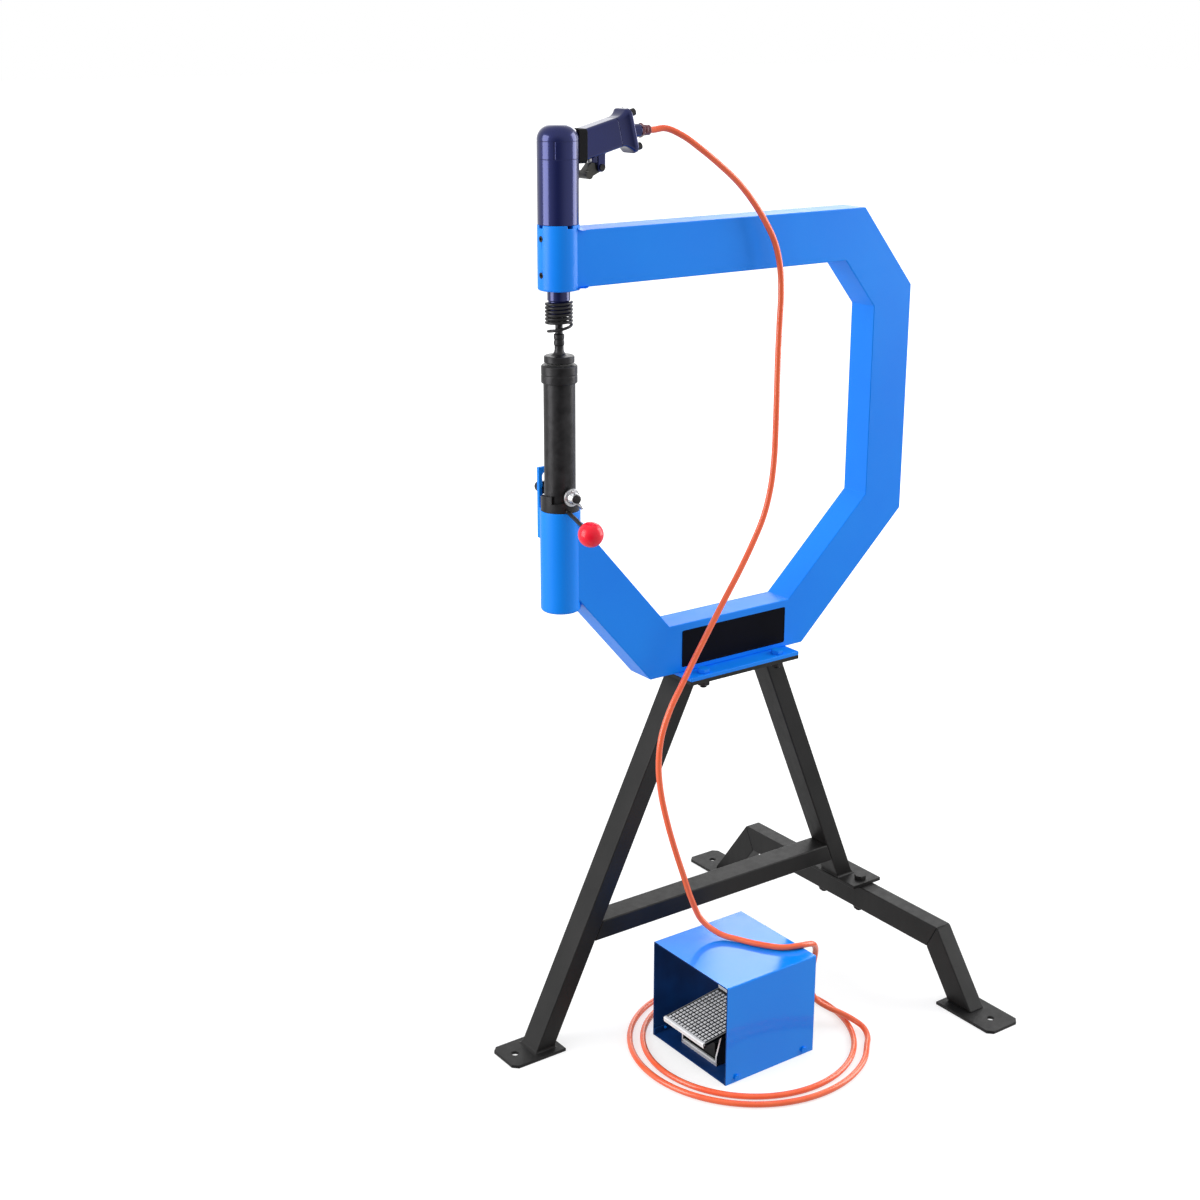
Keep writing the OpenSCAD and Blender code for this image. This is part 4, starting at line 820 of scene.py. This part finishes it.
butt_rings = []
for i in range(FLARE_STEPS + 1):
    share = i / FLARE_STEPS
    butt_rings.append(grip_ring(GRIP_END + (FLARE_END - GRIP_END) * share, share ** 2.4))
for x, inset in ((74.4, 0.0), (77.6, 0.0), (78.7, 0.35), (79.3, 1.0), (BUTT_END, 2.0)):
    butt_rings.append(grip_ring(x, 1.0, inset))
INLET_Z = 1347.33
INLET_START = 113.64
BOSS_LENGTH = 19.3
BOSS_R = 9
inlet_axis = Vector((1, 0, 0))
inlet_base = at(INLET_START, 0, INLET_Z)
boss_outline = eased([(2, -6), (BOSS_R, -6), (BOSS_R, BOSS_LENGTH), (2, BOSS_LENGTH)], 1.2)
boss = turned(boss_outline, inlet_base, inlet_axis, 48)
add_shapes("grip_butt_finished", "grip_butt", [joined_rings(butt_rings), boss], sharp=55)

BUTT_SCREW_ACROSS = 12
BUTT_SCREW_UP = 23
head_outline = [(0.4, 4.0), (2.6, 4.0)]
head_outline += eased([(2.6, 4.0), (2.6, 7.0), (5.0, 7.0), (5.0, 0.0), (2.0, 0.0)], 0.7)
head_outline += [(2.0, -6.0), (0.4, -6.0)]
heads = []
for across in (-BUTT_SCREW_ACROSS, BUTT_SCREW_ACROSS):
    for up in (-BUTT_SCREW_UP, BUTT_SCREW_UP):
        heads.append(turned(head_outline, on_grip(BUTT_END, across, up - BUTT_DROP), grip_axis, 32))
add_shapes("butt_screws_finished", "butt_screws", heads)

HEX_LENGTH = 5
FITTING_FLATS = 17
inlet_hex_base = at(INLET_START + BOSS_LENGTH, 0, INLET_Z)
collar_outline = eased([
    (3, HEX_LENGTH - 0.5), (6.6, HEX_LENGTH - 0.5), (6.6, HEX_LENGTH + 2), (7.25, HEX_LENGTH + 2.6),
    (7.25, HEX_LENGTH + 6), (6.7, HEX_LENGTH + 6.6), (7.1, HEX_LENGTH + 7.4), (7.1, HEX_LENGTH + 11),
    (4.6, HEX_LENGTH + 11)], 0.6)
add_shapes("air_inlet_finished", "air_inlet", [
    hexagon(inlet_hex_base, inlet_axis, FITTING_FLATS, HEX_LENGTH, 1.2),
    turned(collar_outline, inlet_hex_base, inlet_axis, 48)])


# Springs


def coil(radius, pitch, curls, start, place, tail=()):
    """A smooth coil that winds down from a start angle, then a tail if one is given."""
    curl_steps = 32
    line = []
    for i in range(curls * curl_steps + 1):
        turn = i / curl_steps
        angle = math.radians(start - 360 * turn)
        line.append(Vector((radius * math.cos(angle), radius * math.sin(angle), -pitch * turn)))
    line += tail
    return [place(*point) for point in line]


def spring(name, node, line, wire):
    piece = round_bar(name, line, wire * MM)
    dress(piece, node, None)
    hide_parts(node)


RETAINER_TOP = 1127.7
RETAINER_R = 17.2
RETAINER_PITCH = 5
RETAINER_CURLS = 6
RETAINER_START = -35
TAIL_R = 11
TAIL_SWEEP = 270
TAIL_DROP = 11
TAIL_STEPS = 24
retainer_tail = []
for i in range(1, TAIL_STEPS + 1):
    u = i / TAIL_STEPS
    angle = math.radians(RETAINER_START - TAIL_SWEEP * u)
    radius = RETAINER_R + (TAIL_R - RETAINER_R) * u * u
    drop = RETAINER_PITCH * RETAINER_CURLS + TAIL_DROP * math.sin(math.radians(90 * u))
    retainer_tail.append(Vector((radius * math.cos(angle), radius * math.sin(angle), -drop)))
spring("retainer_coils", "retainer_spring", coil(
    RETAINER_R, RETAINER_PITCH, RETAINER_CURLS, RETAINER_START,
    lambda x, y, z: at(x, y, RETAINER_TOP + z), retainer_tail), wire=4)
spring("throttle_coils", "throttle_spring", coil(
    radius=4.0, pitch=2, curls=6, start=0, place=lambda x, y, z: on_grip(9 + x, y, 6 + z)), wire=1)
spring("treadle_coils", "treadle_spring", coil(
    radius=5.6, pitch=2.6, curls=6, start=90, place=lambda x, y, z: at(
        TREADLE_PIVOT[0] + x, TREADLE_PIVOT[1] - 7.8 - z, TREADLE_PIVOT[2] + y)), wire=2)
softened("throttle_stem", 0.5)


# Bit, anvil and the cam lock
DIE_Z = 1045.5
bit_outline = eased([
    (0.4, 0), (20, 0), (21, 1), (21, 9), (19.5, 10), (13.5, 10)], 0.8)
bit_outline += [(6.25 + 7.25 * (1 - math.sin(a)), 10 + 9 * (1 - math.cos(a)))
                for a in [math.radians(7.5 * i) for i in range(1, 13)]]
bit_outline += eased([
    (6.25, 21), (6.25, 23), (7.25, 25), (7.25, 29), (6.6, 30), (6.6, 32), (7.25, 33), (7.25, 38.5),
    (5.1, 40), (5.1, 60)], 0.6)
bit_outline += eased([(5.1, 60), (5.1, 118), (3.6, 119.5), (0.4, 119.5)], 0.5)
add_shapes("hammer_bit_finished", "hammer_bit", [turned(bit_outline, at(0, 0, DIE_Z), UP)], sharp=50)

POST_TOP = 1018
anvil_outline = eased([
    (0.4, -34), (13, -34), (15, -32), (15, 0.1), (24.2, 0.1), (25, 0.9), (25, 10.4), (24.6, 10.9),
    (24.6, 11.9), (25, 12.4), (25, 23.2), (23.2, 25), (0.4, 25)], 0.6)
add_shapes("anvil_finished", "anvil", [turned(anvil_outline, at(0, 0, POST_TOP), UP)], sharp=50)

LEVER_ANGLE = math.radians(-103)
LEVER_TILT = math.radians(7)
COLLAR_R = 27
LEVER_Z = 842.4
KNOB_OUT = 113
LEVER_LENGTH = (KNOB_OUT - COLLAR_R) / math.cos(LEVER_TILT)
lever_way = Vector((math.cos(LEVER_ANGLE), math.sin(LEVER_ANGLE), 0))
lever_axis = (lever_way * math.cos(LEVER_TILT) - UP * math.sin(LEVER_TILT)).normalized()
lever_base = at(0, 0, LEVER_Z) + lever_way * COLLAR_R * MM
lever_outline = eased([
    (0.4, -2), (3, -2), (3, 3), (2.7, 3.5), (2.7, 4.5), (3, 5), (3, 58), (2.7, 58.5), (2.7, 60),
    (3, 60.5), (3, 75.6), (0.4, 75.9)], 0.4)
add_shapes("cam_lever_finished", "cam_lever", [turned(lever_outline, lever_base, lever_axis, 40)])
KNOB_R = 17.5
KNOB_BORE = 3.05
knob_floor = LEVER_LENGTH - 10.5
knob_mouth = LEVER_LENGTH - 16.6
knob_outline = [(0.4, knob_floor), (KNOB_BORE, knob_floor)]
knob_outline += eased([
    (KNOB_BORE, knob_floor), (KNOB_BORE, knob_mouth), (6.2, knob_mouth), (6.8, LEVER_LENGTH - 16.0)], 0.4)
knob_outline += arc(0, LEVER_LENGTH, KNOB_R, -65, 84, 40)
knob_outline += [(0.4, LEVER_LENGTH + KNOB_R - 0.1)]
knob = turned(knob_outline, lever_base, lever_axis, 64)
add_shapes("ball_knob_finished", "ball_knob", [knob], sharp=60)

BOLT_Z = 861.757
NUT_Y = 30.2
STOP_Y = 40.4
BOLT_D = 12
THREAD_Y = 24
THREAD_OUT = 14
BOLT_HEAD = 6
toward = Vector((0, -1, 0))
away = Vector((0, 1, 0))
bolt_middle = at(0, 0, BOLT_Z)
dome_outline = eased([(2, 0), (8, 0), (8, 4)], 0.6) + arc(0, 4, 8, 6, 86, 14) + [(0.3, 12)]
bolt_outline = [(1, -STOP_Y), (BOLT_D / 2, -STOP_Y), (BOLT_D / 2, THREAD_Y), (1, THREAD_Y)]
add_shapes("post_bolt_finished", "post_bolt", [
    turned(bolt_outline, bolt_middle, toward, 48),
    threaded(bolt_middle + toward * THREAD_Y * MM, toward, BOLT_D, NUT_Y + THREAD_OUT - THREAD_Y, 1.75),
    hexagon(bolt_middle + away * STOP_Y * MM, away, 18, BOLT_HEAD, 1.2, 30),
    turned(dome_outline, bolt_middle + away * (STOP_Y + BOLT_HEAD) * MM, away, 48)])

WING_ANGLE = math.radians(117)
WING_REACH = 16.5
WING_HALF = 1.75
wing_way = Vector((math.cos(WING_ANGLE), 0, math.sin(WING_ANGLE)))
wing_side = wing_way.cross(toward)
nut_base = bolt_middle + toward * NUT_Y * MM
hub_outline = eased([(6.05, 0), (9, 0), (9, 2), (7.5, 9.4), (7.5, 10), (6.05, 10)], 0.8)
hub = turned(hub_outline, nut_base, toward, 48, True)
wing_outline = eased([
    (7.0, 3.5), (9, 3.5), (12, 5.4), (WING_REACH, 10), (WING_REACH, 15), (12.6, 15), (9.6, 12.6),
    (7.0, 8.5)], 2.2)
wings = []
for way in (1, -1):
    wings.append(plate(wing_outline, -WING_HALF, WING_HALF, 1.1, lambda a, b, level: (
        nut_base + wing_way * way * a * MM + toward * b * MM + wing_side * level * MM)))
add_shapes("wing_nut_finished", "wing_nut", [hub, *wings], sharp=50)


# Bolts and nuts of the stand
STAND_BOLT_D = 10
STAND_BOLT_FLATS = 17
STAND_NUT = 8
STAND_THREAD = 12


def bolt_set(node, places, head_z, nut_z, head_finish):
    """Bolts with a washer face under the head and a threaded tip below the nut."""
    face_outline = eased([(2, 0), (8.2, 0), (8.2, 0.7), (2, 0.7)], 0.3)
    shank = STAND_BOLT_D / 2
    shank_outline = [(1, nut_z), (shank, nut_z), (shank, head_z), (1, head_z)]
    shapes = []
    for x, y in places:
        shapes.append(turned(face_outline, at(x, y, head_z), UP, 40))
        shapes.append(hexagon(at(x, y, head_z + 0.6), UP, STAND_BOLT_FLATS, 5.8))
        shapes.append(turned(shank_outline, at(x, y, 0), UP, 32))
        shapes.append(threaded(at(x, y, nut_z), -UP, STAND_BOLT_D, STAND_THREAD))
    piece = add_shapes(node + "_finished", node, shapes)
    piece.data.materials.append(FINISHES[head_finish])
    for face in piece.data.polygons:
        face.material_index = 1 if face.center.z > head_z * MM else 0


def nut_set(node, places, top_z):
    add_shapes(node + "_finished", node, [
        hexagon(at(x, y, top_z), -UP, STAND_BOLT_FLATS, STAND_NUT) for x, y in places])


STAND_TOP = 550
FLANGE_TOP = 562
LEG_BASE_TOP = 124
BEAM_UNDER = 78
BEAM_X = 570
BEAM_BOLT_Y = 43
FLANGE_X = 300
FLANGE_BOLT_X = 72
FLANGE_BOLT_Y = 42
flange_places = [(FLANGE_X + x * FLANGE_BOLT_X, y * FLANGE_BOLT_Y) for x in (-1, 1) for y in (-1, 1)]
bolt_set("flange_bolts", flange_places, FLANGE_TOP, STAND_TOP, "blue_paint")
nut_set("flange_nuts", flange_places, STAND_TOP)
beam_places = [(BEAM_X, -BEAM_BOLT_Y), (BEAM_X, BEAM_BOLT_Y)]
bolt_set("beam_bolts", beam_places, LEG_BASE_TOP, BEAM_UNDER, "black_powder")
nut_set("beam_nuts", beam_places, BEAM_UNDER)


# Label: a bare black plate with a slim raised rim
label_low, label_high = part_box("label_plate")
label_mid = (label_low + label_high) / 2
LABEL_STEPS = (
    (200, 57, 2.5, 0.0), (200, 57, 2.5, 0.6), (199.4, 56.4, 2.5, 0.8), (196, 53, 1.5, 0.8),
    (195.4, 52.4, 1.5, 0.55),
)
label_rings = []
for width, height, corner, out in LABEL_STEPS:
    label_face = Vector((label_mid.x, label_high.y - out * MM, label_mid.z))
    label_rings.append([label_face + Vector((across, 0, up)) * MM
                        for across, up in rounded_outline(width, height, corner)])
add_shapes("label_plate_finished", "label_plate", [joined_rings(label_rings)], sharp=30)


# Foot valve: the studded treadle and the fitting
TREAD_FRONT = -50
TREAD_BACK = 68
TREAD_HALF = 49
TREAD_LENGTH = TREAD_BACK - TREAD_FRONT
TREAD_MID = (TREAD_FRONT + TREAD_BACK) / 2
tread_outline = [(a + TREAD_MID, b) for a, b in rounded_outline(TREAD_LENGTH, 2 * TREAD_HALF, 5)]
treadle_shapes = [plate(tread_outline, 10, TREAD_TOP, 0.8, on_treadle)]
lip = [(a + TREAD_FRONT + 3.2, b + 10.6) for a, b in rounded_outline(6.4, 9.2, 2.4)]
treadle_shapes.append(plate(
    lip, -TREAD_HALF + 1, TREAD_HALF - 1, 1.0, lambda x, z, y: on_treadle(x, y, z)))
for side in (-1, 1):
    rim = [(a + side * (TREAD_HALF - 1.7), b + 11.7) for a, b in rounded_outline(3.4, 5.2, 1.4)]
    treadle_shapes.append(plate(
        rim, TREAD_FRONT + 4, TREAD_BACK - 4, 1.0, lambda y, z, x: on_treadle(x, y, z)))
cap = [(a + TREAD_BACK - 5, b + 16) for a, b in rounded_outline(10, 12, 3)]
treadle_shapes.append(plate(cap, -TREAD_HALF, TREAD_HALF, 1.2, lambda x, z, y: on_treadle(x, y, z)))
LUG_TOP = 10.5
for low, high, x, z, r in ((-38.6, -33.1, 0, 0, 8), (33.1, 38.6, 0, 0, 8), (-10, 10, 42, -1, 5)):
    lug = arc(x, z, r, 180, 360, 16) + [(x + r, LUG_TOP), (x - r, LUG_TOP)]
    treadle_shapes.append(plate(lug, low, high, 0.6, lambda a, b, y: on_treadle(a, y, b)))
STUD_PITCH = 7.0
STUD_BASE = 2.4
STUD_CREST = 2.0
STUD_CORNERS = ((-1, -1), (1, -1), (1, 1), (-1, 1))
stud_x = TREAD_FRONT + 9
while stud_x < TREAD_BACK - 13:
    stud_y = -TREAD_HALF + 6.4
    while stud_y < TREAD_HALF - 6:
        stud_rings = []
        for half, level in ((STUD_BASE, TREAD_TOP - 0.2), (STUD_CREST, STUD_TOP)):
            stud_rings.append([on_treadle(stud_x + a * half, stud_y + b * half, level)
                               for a, b in STUD_CORNERS])
        treadle_shapes.append(joined_rings(stud_rings))
        stud_y += STUD_PITCH
    stud_x += STUD_PITCH
add_shapes("treadle_finished", "treadle", treadle_shapes, finish="tread")

BASE_FRONT = 138
BASE_SIDES = (-201, -117)
base_lip = [(a + BASE_FRONT + 2.5, b + 5.6) for a, b in rounded_outline(5, 7, 2)]
base_lip_bar = plate(base_lip, *BASE_SIDES, 1.0, lambda x, z, y: at(x, y, z))
add_shapes("pedal_base_lip", "pedal_base", [base_lip_bar], finish="cast_alloy", stands=False)

FITTING_LENGTH = 26
fitting_middle = middle("valve_fitting")
fitting_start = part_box("valve_fitting")[1].x - FITTING_LENGTH * MM
fitting_base = Vector((fitting_start, fitting_middle.y, fitting_middle.z))
fitting_outline = eased([
    (3, -12), (5.8, -12), (5.8, 0.5), (6.2, 7.5), (6.2, 10), (6.75, 10.6), (6.75, 17), (6.3, 17.6),
    (6.7, 18.4), (6.7, FITTING_LENGTH), (4.6, FITTING_LENGTH)], 0.6)
add_shapes("valve_fitting_finished", "valve_fitting", [
    hexagon(fitting_base, inlet_axis, FITTING_FLATS, 8, 1.2),
    turned(fitting_outline, fitting_base, inlet_axis, 48)])


# Fillets and welds
SOCKET_R = 28.5
ARM_HALF = 25
SEAM_ANGLE = math.degrees(math.asin(ARM_HALF / SOCKET_R))
TOE_SLOPE = math.tan(math.radians(49))
RUN_OUT = 5
ALONG_ARM = Vector((1, 0, 0))


def seam_fill(low, high, side, reach):
    """The fillet down a vertical seam between a socket and the flat of its arm."""
    seam = math.radians(SEAM_ANGLE * side)
    round_way = Vector((math.sin(seam), -math.cos(seam), 0)) * side
    path = []
    steps = 30
    for i in range(steps + 1):
        z = low + (high - low) * i / steps
        near_end = min(z - low, high - z) / RUN_OUT
        size = reach * (0.25 + 0.75 * min(1.0, near_end) ** 0.5)
        corner = at(SOCKET_R * math.cos(seam), ARM_HALF * side, z)
        path.append((corner, ALONG_ARM * size, round_way * size))
    return corner_fill(path)


def round_fill(height, slope, reach, rise):
    """The fillet round a socket where a face of its arm meets it."""
    path = []
    steps = 32
    for i in range(steps + 1):
        angle = math.radians(-SEAM_ANGLE + 2 * SEAM_ANGLE * i / steps)
        x = SOCKET_R * math.cos(angle)
        out = Vector((math.cos(angle), math.sin(angle), -slope * math.cos(angle))).normalized()
        path.append((at(x, SOCKET_R * math.sin(angle), height - slope * x), out * reach, UP * rise))
    return corner_fill(path)


ARM_UNDER = 1148
ARM_TOP = 1224
TOE_LOW = 712
TOE_HIGH = 825
TOE_AT_AXIS = 841.6
hammer_fills = [seam_fill(ARM_UNDER + 1, ARM_TOP - 1, side, 10) for side in (-1, 1)]
hammer_fills += [round_fill(ARM_UNDER, 0, 12, -3.6), round_fill(ARM_TOP, 0, 9, 5.5)]
add_shapes("hammer_socket_fillets", "hammer_socket", hammer_fills, stands=False)
toe_fills = [seam_fill(TOE_LOW, TOE_HIGH, side, 9) for side in (-1, 1)]
toe_fills += [round_fill(TOE_AT_AXIS, TOE_SLOPE, 7, 7)]
add_shapes("anvil_socket_fillets", "anvil_socket", toe_fills, stands=False)


def tube_weld(ends, level, reach, flip, width=40, depth=30):
    """The weld round a leg's end on a level plate: ends are the leg's top and foot in side view."""
    (top_x, top_z), (foot_x, foot_z) = ends
    way = Vector((top_x - foot_x, 0, top_z - foot_z)).normalized() * (-1 if flip else 1)
    half = depth / 2 / abs(way.z)
    x = foot_x + (top_x - foot_x) * (level - foot_z) / (top_z - foot_z)
    corners = []
    outward = []
    for a, b in ((-1, -1), (1, -1), (1, 1), (-1, 1)):
        corners.append(at(x + a * half, b * width / 2, level))
        outward.append(Vector((a, b, 0)))
    return weld_ring(corners, outward, way, reach)


FOOT_TOP = 5
BEAD_REACH = 4
FRONT_LEG = ((220, STAND_TOP), (-48, FOOT_TOP))
REAR_LEG = ((381, STAND_TOP), (558, LEG_BASE_TOP))
leg_welds = []
for leg in (FRONT_LEG, REAR_LEG):
    leg_welds.append(tube_weld(leg, leg[0][1], BEAD_REACH, True))
    leg_welds.append(tube_weld(leg, leg[1][1], BEAD_REACH, False))
add_shapes("leg_welds", "front_leg", leg_welds, stands=False)

for name, solid in frame["nodes"].items():
    for held in solid.material_slots:
        held.material = FINISHES[node_slot[name]]


# The floor and the lights
floor_mesh = bpy.data.meshes.new("floor")
FLOOR_REACH = 40.0
FLOOR_NEAR = 0.9
FLOOR_FAR = 2.6
floor_mesh.from_pydata(
    [(x, y, 0.0) for x, y in ((-1, -1), (1, -1), (1, 1), (-1, 1))], [], [(0, 1, 2, 3)])
for corner in floor_mesh.vertices:
    corner.co *= FLOOR_REACH
floor = bpy.data.objects.new("floor", floor_mesh)
bpy.context.scene.collection.objects.link(floor)
floor_finish = Finish("pale_floor")
from_middle = floor_finish.node(
    "ShaderNodeVectorMath", {"operation": "LENGTH"}, {0: floor_finish.here()}, "Value")
far_share = floor_finish.spread(from_middle, FLOOR_NEAR, FLOOR_FAR)
floor_glow = floor_finish.blend(far_share, (0.6, 0.6, 0.6, 1.0), (1.0, 1.0, 1.0, 1.0))
floor_finish.surface(
    base=(0.5, 0.5, 0.5, 1.0), rough=0.9, specular=0.0, glow=floor_glow, glow_strength=1.0)
floor_mesh.materials.append(floor_finish.material)
floor.visible_glossy = False
floor.visible_diffuse = False

LIGHT_AIM = Vector((0.0, 0.0, 0.75))
LIGHTS = (
    ("left_softbox", (-3.0, 0.8, 1.5), (1.9, 2.6), 70.0, True),
    ("right_softbox", (2.86, -1.04, 1.7), (2.0, 2.9), 72.0, True),
    ("back_softbox", (2.6, 2.18, 2.4), (1.3, 0.9), 11.0, True),
    ("top_softbox", (0.2, 0.4, 3.6), (2.6, 2.6), 24.0, False),
)
for name, place, size, power, mirrored in LIGHTS:
    lamp = bpy.data.lights.new(name, "AREA")
    lamp.shape = "RECTANGLE"
    lamp.size = size[0]
    lamp.size_y = size[1]
    lamp.energy = power
    light = bpy.data.objects.new(name, lamp)
    light.location = place
    light.visible_camera = False
    light.visible_glossy = mirrored
    aim = LIGHT_AIM - light.location
    light.rotation_euler = aim.to_track_quat("-Z", "Y").to_euler()
    bpy.context.scene.collection.objects.link(light)

# White behind the object, and a soft room, brightest low behind it and dim on the near side
world = bpy.data.worlds.new("studio")
world.use_nodes = True
room = NodeWork(world.node_tree)
sky = next(n for n in world.node_tree.nodes if n.type == "BACKGROUND")
ROOM_DIM = 0.14
ROOM_FILL = 0.58
ROOM_GLOW = 1.0
BACK_WAY = Vector((0.57, 0.79, 0.22)).normalized()
facing_back = room.along(room.node("ShaderNodeTexCoord", {}, {}, "Generated"), BACK_WAY)
behind = room.larger(facing_back, 0.0) ** 14.0
near_side = room.larger(0.0 - facing_back, 0.0) ** 5.0
in_gloss = room.node("ShaderNodeLightPath", {}, {}, "Is Glossy Ray")
lit = ROOM_DIM + ROOM_FILL * (1.0 - near_side) + ROOM_GLOW * behind * in_gloss
seen = room.node("ShaderNodeLightPath", {}, {}, "Is Camera Ray")
room.fill(sky, {"Color": (1.0, 1.0, 1.0, 1.0), "Strength": seen + (1.0 - seen) * lit})
bpy.context.scene.world = world
bpy.context.scene.view_settings.view_transform = "Standard"

bpy.context.view_layer.update()
